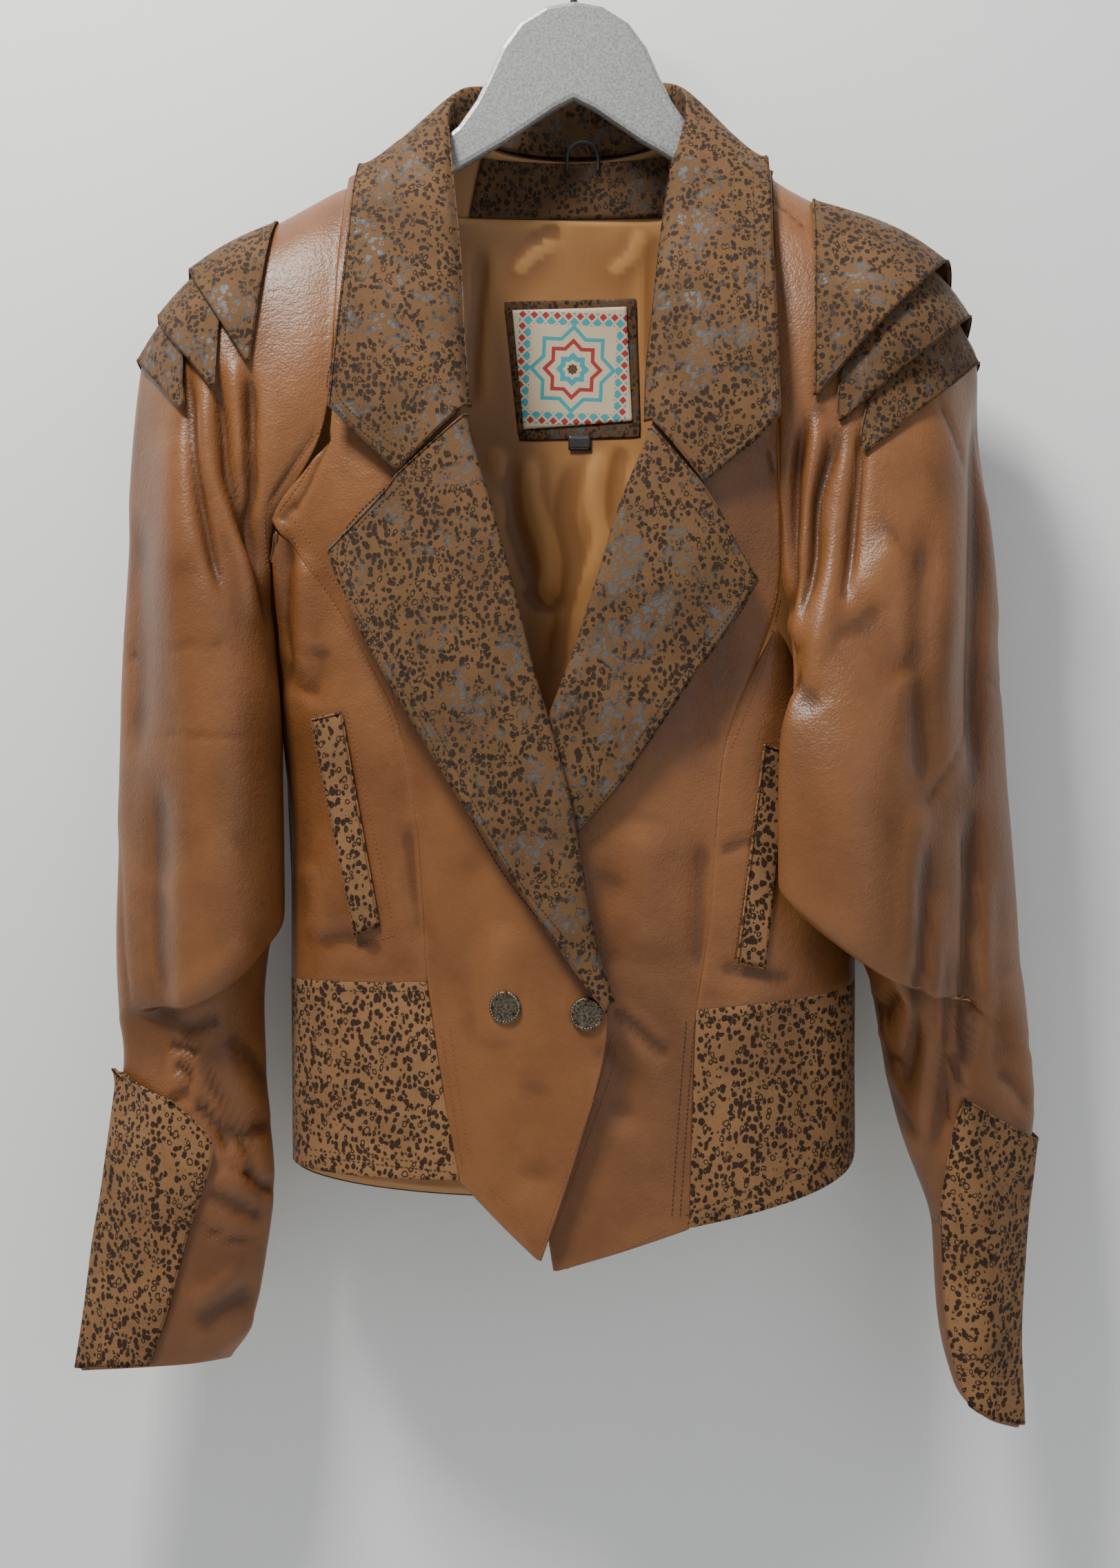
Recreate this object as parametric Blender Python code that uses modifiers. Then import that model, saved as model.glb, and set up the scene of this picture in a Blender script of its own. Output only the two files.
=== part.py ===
"""Cropped double-breasted leather coat on a moulded hanger, hung with its front flat as shown.

World: x to the viewer's right, +y away from the viewer, z up; the origin is the inner top of the hook.
Right and left are the wearer's. All tables are in millimetres.
"""
import math

import bpy
import numpy as np
from mathutils import Vector
from mathutils.bvhtree import BVHTree

MM = 0.001
COAT = "leather_coat_on_hanger"

# Wall thickness of each kind of cloth, mm
LEATHER = 1.5
SUEDE = 1.3
LINING = 0.8
LABEL = 0.6

# Fine columns across half a sleeve
ACROSS = 60

# Half a seam: between panels, round the armholes, on the sharp shoulder ridge; air under a laid layer, mm
SEAM = 0.5
ARM_SEAM = 0.9
RIDGE_SEAM = 1.9
AIR = 0.6

# Hanger and its hook, mm
HANGER_THICK = 10.0
HANGER_ROUND = 3.0
WIRE = 4.4
HOOK_RADIUS = 20.0

# Press studs, mm
STUD_RADIUS = 9.2
STUD_CAP = 8.0

MATERIALS = {
    "tan_leather": ((0.36, 0.16, 0.055), 0.5, 0.0),
    "spotted_suede": ((0.26, 0.12, 0.05), 0.6, 0.0),
    "copper_satin": ((0.44, 0.19, 0.06), 0.35, 0.0),
    "cream_label": ((0.7, 0.62, 0.46), 0.7, 0.0),
    "dark_tape": ((0.03, 0.025, 0.02), 0.7, 0.0),
    "silver_plastic": ((0.42, 0.41, 0.39), 0.45, 0.0),
    "dark_wire": ((0.08, 0.08, 0.08), 0.35, 1.0),
    "aged_brass": ((0.42, 0.34, 0.22), 0.35, 1.0),
}

# Armhole seam of each side, front then back, from the shoulder ridge to the underarm
ARMHOLE_RIGHT = [(-136, 0, -167), (-136, -22, -188), (-138, -40, -222), (-140, -53, -275), (-142, -56, -336),
                 (-178, -46, -376), (-177.5, -40, -405), (-177, -30, -440), (-176, -14, -478), (-175, -3, -516)]
ARMHOLE_LEFT = [(119, 0, -162), (118, -22, -187), (117, -38, -216), (118, -52, -270), (118, -56, -330),
                (119, -55, -380), (119, -50, -427), (125, -44, -450), (142, -28, -490), (174, -2, -527)]
BACK_ARMHOLE_RIGHT = [(-136, 0, -167), (-137, 20, -190), (-138, 36, -224), (-140, 46, -275), (-144, 50, -332),
                      (-150, 49, -372), (-157, 45, -405), (-165, 36, -440), (-172, 18, -480), (-175, -3, -516)]
BACK_ARMHOLE_LEFT = [(119, 0, -162), (120, 20, -187), (122, 36, -218), (126, 46, -270), (132, 50, -328),
                     (138, 49, -372), (146, 46, -412), (156, 38, -447), (168, 20, -488), (174, -2, -527)]

# Princess seams from the armhole to the waist, then on to the hem
PRINCESS_RIGHT = [(-178, -46, -376), (-161, -49, -399), (-141, -52, -427), (-120, -56, -462), (-102, -60, -497),
                  (-93, -62, -539), (-89, -61, -595), (-85, -60, -648)]
PRINCESS_LEFT = [(119, -50, -427), (101, -55, -475), (87, -59, -511), (82, -60, -559), (78, -62, -619),
                 (70, -62, -664)]
HEM_SEAM_RIGHT = [(-85, -60, -648), (-77, -62, -702), (-66, -66, -761)]
HEM_SEAM_LEFT = [(70, -62, -664), (68, -62, -718), (66, -64, -789)]

# Side seams under the arms
SIDE_RIGHT = [(-171, 0, -560), (-171, 0, -600), (-171, 0, -650)]
SIDE_LEFT = [(170, 0, -590), (170, 0, -651)]

# Front edges, from the neck point down the roll of the lapel to the hem
EDGE_RIGHT = [(-79, 0, -135), (-82, -22, -168), (-79, -40, -204), (-72, -56, -262), (-67, -67, -320),
              (-57, -72, -362), (-48, -74, -392), (-38, -77, -426), (-29, -80, -462), (-19, -82, -504),
              (-8, -84, -545), (2, -84, -605), (19, -84, -662), (7, -84, -722), (-20, -84, -803)]
EDGE_LEFT = [(79, 0, -135), (76, -22, -168), (60, -42, -204), (52, -56, -268), (47, -66, -326),
             (31, -69, -370), (17, -71, -421), (4, -73, -461), (-13, -74, -505), (-22, -74, -550),
             (-29, -74, -610), (-31, -74, -655), (-25, -74, -716), (-11, -74, -811)]

# Right sleeve, front half: each row runs from the armhole or inner edge to the outer edge
SLEEVE_RIGHT = [
    [ARMHOLE_RIGHT[0], (-175, 0, -189), (-220, 0, -217), (-263, 0, -277)],
    [ARMHOLE_RIGHT[1], (-174, -28, -206), (-219, -26, -234), (-264, -2, -280)],
    [ARMHOLE_RIGHT[2], (-176, -44, -236), (-222, -42, -258), (-266, -2, -290)],
    [ARMHOLE_RIGHT[3], (-180, -56, -288), (-224, -54, -300), (-269, -2, -312)],
    [ARMHOLE_RIGHT[4], (-184, -60, -338), (-227, -58, -344), (-272, -3, -350)],
    [ARMHOLE_RIGHT[5], (-196, -60, -378), (-230, -62, -384), (-274, -3, -388)],
    [ARMHOLE_RIGHT[6], (-190, -62, -408), (-228, -66, -420), (-276, -3, -424)],
    [ARMHOLE_RIGHT[7], (-182, -56, -444), (-222, -68, -458), (-278, -3, -462)],
    [ARMHOLE_RIGHT[8], (-176, -48, -482), (-216, -70, -500), (-279, -3, -502)],
    [ARMHOLE_RIGHT[9], (-174, -42, -523), (-214, -70, -539), (-280, -3, -544)],
    [(-175.5, -3, -560), (-172, -40, -568), (-214, -68, -579), (-281, -3, -585)],
    [(-175.5, -3, -598), (-172, -38, -604), (-215, -64, -626), (-281, -3, -631)],
    [(-176, -3, -612), (-174, -34, -626), (-219, -54, -666), (-280, -3, -662)],
    [(-181, 0, -620), (-184, -16, -620), (-221, -34, -652), (-278, -3, -683)],
    [(-187, 3, -644), (-189, -14, -654), (-222, -34, -684), (-275, -3, -703)],
    [(-184, 2, -698), (-198, -22, -697), (-236, -34, -708), (-278, -3, -729)],
    [(-179, 0, -748), (-197, -26, -746), (-240, -34, -752), (-284, -3, -768)],
    [(-175, 0, -777), (-195, -26, -776), (-240, -34, -780), (-287, -3, -789)],
    [(-182, 0, -815), (-201, -26, -806), (-243, -32, -800), (-291, -3, -808)],
    [(-186, 0, -858), (-208, -24, -852), (-248, -28, -849), (-296, -3, -853)],
    [(-203, 0, -879), (-222, -20, -878), (-257, -22, -880), (-301, -3, -887)],
]

# Left sleeve, front half: its inner part is folded forward over the side of the body
SLEEVE_LEFT = [
    [ARMHOLE_LEFT[0], (138, 0, -172), (158, 0, -183), (206, 0, -213), (246, 0, -277)],
    [ARMHOLE_LEFT[1], (136, -28, -194), (156, -30, -203), (204, -28, -233), (247, -2, -281)],
    [ARMHOLE_LEFT[2], (136, -42, -222), (157, -44, -230), (206, -42, -257), (248, -2, -291)],
    [ARMHOLE_LEFT[3], (138, -56, -274), (159, -57, -280), (208, -53, -298), (250, -2, -312)],
    [ARMHOLE_LEFT[4], (138, -62, -333), (161, -62, -336), (210, -60, -346), (254, -3, -350)],
    [ARMHOLE_LEFT[5], (134, -66, -382), (158, -68, -386), (209, -66, -392), (257, -3, -394)],
    [ARMHOLE_LEFT[6], (124, -66, -430), (146, -76, -434), (206, -74, -436), (261, -3, -434)],
    [ARMHOLE_LEFT[7], (123, -62, -456), (130, -78, -463), (196, -80, -468), (263, -3, -466)],
    [ARMHOLE_LEFT[8], (142, -58, -494), (114, -76, -498), (182, -90, -502), (266, -3, -500)],
    [ARMHOLE_LEFT[9], (168, -46, -531), (110, -75, -535), (172, -95, -541), (269, -3, -541)],
    [(174.5, -2, -558), (169, -46, -562), (110, -75, -566), (172, -95, -578), (273, -3, -581)],
    [(174.5, -2, -584), (169, -45, -586), (111, -73, -586), (175, -92, -624), (276, -3, -634)],
    [(175, -2, -600), (168, -40, -600), (114, -69, -592), (180, -82, -650), (279, -3, -670)],
    [(176, 0, -616), (170, -32, -612), (146, -50, -604), (184, -60, -640), (281, -3, -693)],
    [(178, 3, -650), (176, -18, -650), (180, -26, -654), (200, -52, -668), (283, -3, -710)],
    [(185, 4, -705), (186, -12, -704), (192, -26, -704), (228, -42, -708), (285, -3, -728)],
    [(198, 4, -750), (199, -12, -749), (206, -26, -746), (232, -38, -746), (280, -3, -752)],
    [(215, 2, -788), (216, -10, -787), (222, -26, -784), (240, -34, -782), (275, -3, -784)],
    [(216, 0, -806), (217, -10, -805), (224, -24, -803), (241, -32, -803), (273, -3, -806)],
    [(219, 0, -866), (220, -8, -866), (226, -20, -866), (242, -26, -866), (268, -3, -868)],
    [(228, 0, -889), (228, -7, -893), (232, -14, -900), (247, -18, -912), (271, -3, -922)],
]
SLEEVE_BACK_DEPTH = [0, 24, 38, 46, 50, 51, 52, 52, 51, 48, 46, 44, 42, 38, 35, 34, 33, 32, 30, 26, 20]

# Pleats and folds pressed into the sleeves: line in the front view, half width, depth
FOLDS_RIGHT = [
    ([(-175, -232), (-185, -282), (-187, -312), (-185, -352), (-186, -372)], 7, 5.0),
    ([(-206, -303), (-202, -340), (-199, -360), (-190, -390), (-183, -418)], 8, 7.0),
    ([(-225, -313), (-219, -356), (-210, -401), (-200, -422)], 8, 6.0),
    ([(-255, -330), (-257, -420), (-255, -560), (-240, -640)], 9, 5.0),
    ([(-236, -690), (-226, -712), (-206, -742), (-196, -760)], 8, 4.0),
]
FOLDS_LEFT = [
    ([(136, -309), (134, -335), (128, -367), (127, -400)], 6, 5.0),
    ([(150, -321), (147, -351), (143, -378), (139, -412)], 7, 6.0),
    ([(167, -341), (163, -367), (159, -401), (150, -447)], 8, 7.0),
    ([(243, -300), (242, -390), (241, -550), (243, -690)], 7, 8.0),
    ([(205, -480), (207, -600), (210, -660)], 9, 4.0),
    ([(196, -676), (212, -700), (226, -730)], 8, 4.0),
]
FOLDS_BODY_RIGHT = [([(-170, -390), (-163, -430), (-162, -480)], 7, 3.0)]

# Shoulder flaps: inner end and tip on the ridge, corner on the front, mid of the inner edge
FLAPS_RIGHT = [
    [(-175, -190), (-231, -222), (-188, -290), (-182, -240)],
    [(-203, -205), (-251, -250), (-207, -305), (-205, -255)],
    [(-231, -226), (-263, -277), (-225, -316), (-227, -272)],
]
FLAPS_LEFT = [
    [(141, -174), (220, -223), (138, -310), (140, -240)],
    [(180, -196), (237, -250), (153, -325), (155, -290)],
    [(208, -216), (246, -277), (167, -343), (169, -312)],
]

# Cuff gauntlets, each row: sleeve row at the front edge, x there, sleeve row at the outer edge
CUFF_RIGHT = [(14.3, -268, 14.1), (14.8, -256, 14.4), (15.3, -236, 14.7), (15.9, -211, 15.2), (16.4, -215, 16),
              (17, -220, 17), (18, -228, 18), (19, -240, 19), (19.98, -251, 19.98)]
CUFF_LEFT = [(15.25, 228, 15.9), (15.7, 222, 16.1), (16.3, 220, 16.5), (17, 220, 17), (18, 221, 18),
             (19, 223, 19), (19.98, 236, 19.98)]

# Lapels: roll edge and outer edge
LAPEL_RIGHT_ROLL = [(-64, -68, -322), (-61, -71, -338), (-57, -73, -352), (-45, -76, -392), (-34, -80, -432),
                    (-26, -83, -470), (-15, -85, -504), (-4, -87, -545), (3, -88, -585), (9, -89, -625),
                    (20, -89, -657)]
LAPEL_RIGHT_OUTER = [(-102, -73, -358), (-107, -74, -366), (-141, -74, -401), (-134, -77, -422),
                     (-115, -80, -461), (-91, -83, -500), (-68, -86, -539), (-44, -88, -574),
                     (-17, -90, -615), (6, -91, -648), (18, -91, -663)]
LAPEL_LEFT_ROLL = [(45, -68, -330), (42, -70, -340), (38, -72, -350), (28, -73, -374), (14, -74, -421),
                   (1, -75, -461), (-8, -75, -485), (-16, -76, -505), (-19, -76, -528), (-21, -76, -546)]
LAPEL_LEFT_OUTER = [(74, -72, -364), (79, -72, -370), (105, -73, -418), (85, -75, -451), (65, -76, -476),
                    (38, -77, -518), (24, -77, -538), (14, -77, -549), (6, -77, -558), (0, -77, -565)]

# Collar: roll line, outer edge and neck edge from the right gorge round the back to the left gorge
COLLAR_ROLL = [(-64, -68, -318), (-66, -66, -306), (-67, -63, -293), (-69, -58, -272), (-71, -52, -245),
               (-73, -42, -212), (-77, -30, -175), (-79, -12, -140), (-75, 6, -112), (-58, 24, -101),
               (-32, 34, -97), (0, 38, -95), (30, 34, -96), (54, 24, -99), (68, 6, -109), (66, -14, -136),
               (60, -30, -170), (57, -42, -205), (53, -52, -239), (50, -58, -266), (47, -63, -290),
               (46, -66, -309), (45, -68, -326)]
COLLAR_EDGE = [(-101, -73, -356), (-122, -72, -337), (-141, -71, -318), (-138, -68, -285), (-135, -62, -253),
               (-132, -50, -220), (-131, -30, -184), (-129, -6, -163), (-120, 16, -158), (-96, 40, -160),
               (-54, 54, -162), (0, 58, -163), (48, 54, -162), (88, 40, -158), (108, 16, -154),
               (116, -6, -158), (116, -30, -182), (115, -50, -220), (116, -62, -250), (117, -68, -285),
               (118, -71, -323), (98, -72, -343), (74, -72, -362)]
NECK_EDGE = [(-60, -62, -318), (-62, -60, -306), (-63, -57, -293), (-65, -52, -272), (-66, -46, -245),
             (-68, -35, -212), (-73, -24, -172), (-77, -9, -140), (-77, 5, -136), (-60, 21, -141),
             (-34, 31, -145), (0, 35, -146), (34, 31, -145), (60, 21, -141), (78, 5, -134),
             (77, -10, -138), (58, -26, -168), (52, -36, -205), (48, -46, -239), (45, -52, -266),
             (42, -57, -290), (41, -60, -309), (41, -62, -326)]

# Pocket welts: four corners in the front view
POCKET_RIGHT = [(-153, -496), (-134, -492), (-112, -616), (-127, -622)]
POCKET_LEFT = [(124, -515), (109, -511), (93, -637), (110, -641)]

# Things laid inside the back: four corners in the front view
FACING = [(-56, -151), (56, -151), (64, -183), (-64, -183)]
LINING_BACK = [(-112, -184), (104, -184), (108, -580), (-112, -580)]
LABEL_PATCH = [(-42, -234), (38, -232), (41, -315), (-33, -317)]
LABEL_FACE = [(-38, -238), (33, -236), (37, -306), (-31, -311)]
SIZE_TAB = [(-3, -315), (11, -315), (11, -324), (-3, -324)]

STUDS = [(-39, -661), (7, -664)]


def spline(points, steps):
    """Smooth curve through points, steps samples to each span."""
    pts = np.asarray(points, float)
    ends = np.vstack([2 * pts[0] - pts[1], pts, 2 * pts[-1] - pts[-2]])
    out = []
    for i in range(len(pts) - 1):
        p0, p1, p2, p3 = ends[i:i + 4]
        for k in range(steps):
            t = k / steps
            out.append(0.5 * (2 * p1 + (p2 - p0) * t + (2 * p0 - 5 * p1 + 4 * p2 - p3) * t ** 2
                              + (3 * p1 - p0 - 3 * p2 + p3) * t ** 3))
    out.append(pts[-1])
    return np.array(out)


def evenly(line, stations):
    """Points at given shares of a line's length."""
    steps = np.linalg.norm(np.diff(line, axis=0), axis=1)
    run = np.concatenate([[0], np.cumsum(steps)])
    want = np.asarray(stations) * run[-1]
    return np.stack([np.interp(want, run, line[:, k]) for k in range(3)], axis=1)


def surface(rows, stations, steps):
    """Grid through rows of points: stations across each row, steps rows to each span."""
    cross = np.array([evenly(spline(row, 10), stations) for row in rows])
    return np.stack([spline(cross[:, j], steps) for j in range(cross.shape[1])], axis=1)


def press(grid, folds):
    """Press soft folds into the front of a grid along lines of the front view."""
    out = grid.copy()
    for line, width, depth in folds:
        path = spline([(x, 0, z) for x, z in line], 6)[:, [0, 2]]
        flat = grid[..., [0, 2]][..., None, :] - path
        dist = np.linalg.norm(flat, axis=-1)
        near = dist.min(axis=-1)
        along = dist.argmin(axis=-1) / (len(path) - 1)
        ends = np.clip(np.minimum(along, 1 - along) * 6 + 0.25, 0, 1)
        front = np.clip(-grid[..., 1] / 12, 0, 1)
        out[..., 1] += depth * front * ends * np.exp(-(near / width) ** 2)
    return out


def trim(grid, sides, by):
    """Draw chosen sides of a grid in by a seam's width; sides are top, bottom, first, last."""
    out = grid.copy()
    for side in sides:
        view, inner = {
            "top": (out[0], grid[1]), "bottom": (out[-1], grid[-2]),
            "first": (out[:, 0], grid[:, 1]), "last": (out[:, -1], grid[:, -2]),
        }[side]
        step = inner - view
        size = np.linalg.norm(step, axis=-1, keepdims=True)
        view += step * np.minimum(by / np.maximum(size, 1e-6), 0.45)
    return out


def material(name):
    """One Principled material, made once."""
    if name in bpy.data.materials:
        return bpy.data.materials[name]
    colour, rough, metal = MATERIALS[name]
    made = bpy.data.materials.new(name)
    made.use_nodes = True
    shader = made.node_tree.nodes["Principled BSDF"]
    shader.inputs["Base Color"].default_value = (*colour, 1)
    shader.inputs["Roughness"].default_value = rough
    shader.inputs["Metallic"].default_value = metal
    made.diffuse_color = (*colour, 1)
    return made


def add(name, mesh, mat):
    """Link a mesh as a named object with its material."""
    piece = bpy.data.objects.new(name, mesh)
    mesh.materials.append(material(mat))
    coat.objects.link(piece)
    return piece


def faces_of(rows, cols):
    """Quads of a grid, as vertex numbers."""
    return [(i * cols + j, i * cols + j + 1, (i + 1) * cols + j + 1, (i + 1) * cols + j)
            for i in range(rows - 1) for j in range(cols - 1)]


def shell(name, verts, faces, mat, thick, outward, grow=-1):
    """Solid wall of a given thickness on a surface: grow -1 inwards, 1 outwards."""
    mesh = bpy.data.meshes.new(name)
    mesh.from_pydata([Vector(v) * MM for v in verts], [], faces)
    mesh.update()
    centre = sum((f.center for f in mesh.polygons), Vector()) / len(mesh.polygons)
    facing = sum(f.area * f.normal.dot(outward if outward else f.center - centre) for f in mesh.polygons)
    if facing < 0:
        mesh.flip_normals()
    piece = add(name, mesh, mat)
    wall = piece.modifiers.new("wall", "SOLIDIFY")
    wall.thickness = thick * MM
    wall.offset = grow
    wall.use_quality_normals = True
    return piece


def sheet(name, grid, mat, thick, outward, grow=-1):
    """Solid wall on a grid of points."""
    rows, cols = grid.shape[:2]
    return shell(name, grid.reshape(-1, 3), faces_of(rows, cols), mat, thick, outward, grow)


def tree_of(grids):
    """Ray-casting tree over grids of points, or over points with their faces."""
    verts = []
    faces = []
    for grid in grids:
        start = len(verts)
        if isinstance(grid, tuple):
            verts += [Vector(p) for p in grid[0]]
            faces += [[start + n for n in face] for face in grid[1]]
            continue
        verts += [Vector(p) for p in grid.reshape(-1, 3)]
        faces += [[start + n for n in face] for face in faces_of(*grid.shape[:2])]
    return BVHTree.FromPolygons(verts, faces)


def laid_on(grid, tree, lift, side=-1):
    """Move a grid's points off what lies under them, seen from the front (-1) or back (1)."""
    out = grid.copy()
    for index in np.ndindex(grid.shape[:2]):
        x, y, z = grid[index]
        hit = tree.ray_cast(Vector((x, side * 400, z)), Vector((0, -side, 0)))[0]
        if hit is not None:
            out[index][1] = min(y, hit.y - lift) if side < 0 else max(y, hit.y + lift)
    return out


def lift_off(grid, away, outers, need, most=20.0):
    """Move a grid's points along their outward directions until it clears the outer faces of what it lies on."""
    out = grid + away * need
    trees = [tree_of([g]) for g in outers]
    rows, cols = grid.shape[:2]
    for _ in range(20):
        push = np.zeros((rows, cols))
        for i in range(rows - 1):
            for j in range(cols - 1):
                corners = [(i, j), (i + 1, j), (i, j + 1), (i + 1, j + 1)]
                for a, b in ((0, 1), (0, 2), (0, 3), (1, 2), (1, 3), (2, 3)):
                    for t in (0, 0.25, 0.5, 0.75, 1):
                        p = out[corners[a]] * (1 - t) + out[corners[b]] * t
                        lack = max(shortfall(tree, p, away[i, j], need) for tree in trees)
                        push[corners[a]] = max(push[corners[a]], lack * min(2 * (1 - t), 1))
                        push[corners[b]] = max(push[corners[b]], lack * min(2 * t, 1))
        risen = np.linalg.norm(out - grid, axis=-1)
        push = np.minimum(push, np.maximum(most - risen, 0))
        if push.max() < 0.02:
            break
        out += away * push[..., None] * 0.6
    return out


def shortfall(tree, point, outward, need):
    """How far a point is short of its clearance over an outer face."""
    over = tree.ray_cast(Vector(point), Vector(outward).normalized(), 12)[3]
    if over is not None:
        return over + need
    far = tree.find_nearest(Vector(point), 14)[3]
    return max(need - far, 0) if far is not None else 0


def grown(grid, away, thick):
    """Outer face of a wall laid on a grid."""
    normal = np.cross(np.gradient(grid, axis=0), np.gradient(grid, axis=1))
    normal /= np.maximum(np.linalg.norm(normal, axis=-1, keepdims=True), 1e-6)
    normal *= np.where(np.sum(normal * away, axis=-1, keepdims=True) < 0, -1, 1)
    return grid + normal * thick


def between(first, second, stations):
    """Rows of points spanning two edges."""
    a = np.asarray(first, float)[:, None]
    b = np.asarray(second, float)[:, None]
    t = np.asarray(stations)[None, :, None]
    return a * (1 - t) + b * t


# Body

def front_centre(name, outer, edge, bulge, folds):
    """Centre front from the armhole and princess seam to the front edge."""
    outer = np.asarray(outer, float)
    edge = np.asarray(edge, float)
    middle = (outer + edge) / 2
    middle[:, 1] -= bulge
    rows = [[outer[i], middle[i], edge[i]] for i in range(len(outer))]
    grid = press(surface(rows, np.linspace(0, 1, 8), 2), folds)
    grid = trim(trim(grid, ["top"], RIDGE_SEAM), ["first"], ARM_SEAM)
    sheet(name, grid, "tan_leather", LEATHER, Vector((0, -1, 0)))
    return grid


def side_rows(outer, inner, stations):
    """Rows rounding the side of the body, square to the side seam and flat at the princess seam."""
    rows = []
    for a, b in zip(np.asarray(outer, float), np.asarray(inner, float)):
        turn = np.asarray(stations) * math.pi / 2
        row = a + (b - a) * np.asarray(stations)[:, None]
        row[:, 0] = a[0] + (b[0] - a[0]) * (1 - np.cos(turn))
        row[:, 1] = a[1] + (b[1] - a[1]) * np.sin(turn)
        rows.append(row)
    return rows


def side_panel(name, outer, inner, mat, sides, folds=(), arm=5.5):
    """Side front or hem panel between the side seam and the princess seam."""
    rows = side_rows(outer, inner, np.linspace(0, 1, 6))
    grid = press(surface(rows, np.linspace(0, 1, 7), 2), folds)
    if "point" in sides:
        grid = grid[1:]
        grid[0] = grid[0].mean(axis=0) + (grid[0] - grid[0].mean(axis=0)) * 0.25
    grid = trim(grid, [s for s in sides if s in ("top", "bottom")], SEAM)
    grid = trim(trim(grid, ["first"], arm), ["last"], SEAM)
    sheet(name, grid, mat, LEATHER, Vector((0, -1, 0)))
    return grid


def back_row(first, last, crown, drop, power):
    """One row of the back: crown is its depth at the middle, drop its sag there."""
    share = np.array([0, 0.012, 0.05, 0.13, 0.24, 0.37, 0.5, 0.63, 0.76, 0.87, 0.95, 0.988, 1])
    row = first + (last - first) * share[:, None]
    swell = (1 - (2 * share - 1) ** 2) ** power
    row[:, 1] += (crown - row[:, 1]) * swell
    row[:, 2] -= drop * swell
    return row


def build_back():
    """Back in one piece from the neck and shoulders to the hem."""
    neck = [(-136, 0, -167), (-132, 0, -165), (-122, 0, -159), (-100, 0, -147), (-79, 1, -136),
            (-42, 26, -146), (0, 34, -148), (42, 26, -146), (79, 1, -136), (94, 0, -145),
            (108, 0, -155), (115, 0, -160), (119, 0, -162)]
    rows = [np.array(neck, float)]
    for i in range(1, 9):
        first = np.array(BACK_ARMHOLE_RIGHT[i], float)
        last = np.array(BACK_ARMHOLE_LEFT[i], float)
        rows.append(back_row(first, last, [40, 48, 56, 59, 60, 60, 60, 60][i - 1],
                             [-8, -2, 0, 0, 0, 0, 0, 0][i - 1], [1, 1, 1, 1, 1, 0.9, 0.75, 0.6][i - 1]))
    low = [((-174, -1, -518), (173, -1, -528), 59, 0), ((-171, 0, -582), (170, 0, -584), 58, 0),
           ((-171, 0, -650), (170, 0, -651), 57, 4), ((-170.5, 0, -706), (170, 0, -705), 56, 14),
           ((-170, 0, -760), (170, 0, -756), 55, 36)]
    for first, last, crown, drop in low:
        rows.append(back_row(np.array(first, float), np.array(last, float), crown, drop, 0.5))
    grid = np.stack([spline(np.array(rows)[:, j], 2) for j in range(13)], axis=1)
    grid = trim(trim(grid, ["top"], RIDGE_SEAM), ["first", "last"], ARM_SEAM)
    sheet("back", grid, "tan_leather", LEATHER, Vector((0, 1, 0)))
    return grid


# Sleeves

def sleeve_grids(front_rows, back_edge, folds):
    """Front and back halves of a sleeve as fine grids; both run from inner edge to outer edge."""
    back_rows = []
    for i, row in enumerate(front_rows):
        inner = np.array(back_edge[i] if i < len(back_edge) else row[0], float)
        outer = np.array(row[-1], float)
        depth = SLEEVE_BACK_DEPTH[i]
        one = inner + (outer - inner) * 0.33
        two = inner + (outer - inner) * 0.72
        if i == 0:
            back_rows.append(row)
            continue
        one[1] = max(depth, inner[1])
        two[1] = depth * 0.92
        back_rows.append([inner, one, two, outer])
    front = np.array([spline(row, ACROSS // (len(row) - 1)) for row in front_rows])
    back = np.array([spline(row, ACROSS // (len(row) - 1)) for row in back_rows])
    # The two halves meet smoothly over the shoulder ridge
    mirror_f = np.stack([spline(np.vstack([back[1:2, j], front[:, j]]), 8) for j in range(ACROSS + 1)], axis=1)[8:]
    mirror_b = np.stack([spline(np.vstack([front[1:2, j], back[:, j]]), 8) for j in range(ACROSS + 1)], axis=1)[8:]
    return press(mirror_f, folds), mirror_b


def pick(grid, rows, shares):
    """Rows and shares of the width picked out of a fine grid."""
    return grid[np.ix_([int(round(r * 8)) for r in rows], [int(round(s * ACROSS)) for s in shares])]


def straightened(grid, rows, shares):
    """Fine grid brought onto the flat faces between the picked rows and shares."""
    coarse = pick(grid, rows, shares)
    r_at = np.array(rows) * 8
    c_at = np.round(np.array(shares) * ACROSS)
    down = np.array([[np.interp(np.arange(grid.shape[0]), r_at, coarse[:, j, k]) for k in range(3)]
                     for j in range(len(shares))])
    return np.array([[np.interp(np.arange(ACROSS + 1), c_at, down[:, k, i]) for k in range(3)]
                     for i in range(grid.shape[0])]).transpose(0, 2, 1)


SLEEVE_ROWS = sorted([*range(21), 8.5, 11.5, 12.5])
FRONT_SHARES = {
    "right": [0, 0.15, 1 / 3, 0.45, 0.55, 2 / 3, 0.75, 0.833, 0.917, 1],
    "left": [0, 0.133, 0.25, 0.383, 0.5, 0.583, 2 / 3, 0.75, 0.833, 0.917, 1],
}
BACK_SHARES = [0, 0.15, 1 / 3, 0.5, 2 / 3, 0.85, 1]


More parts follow.
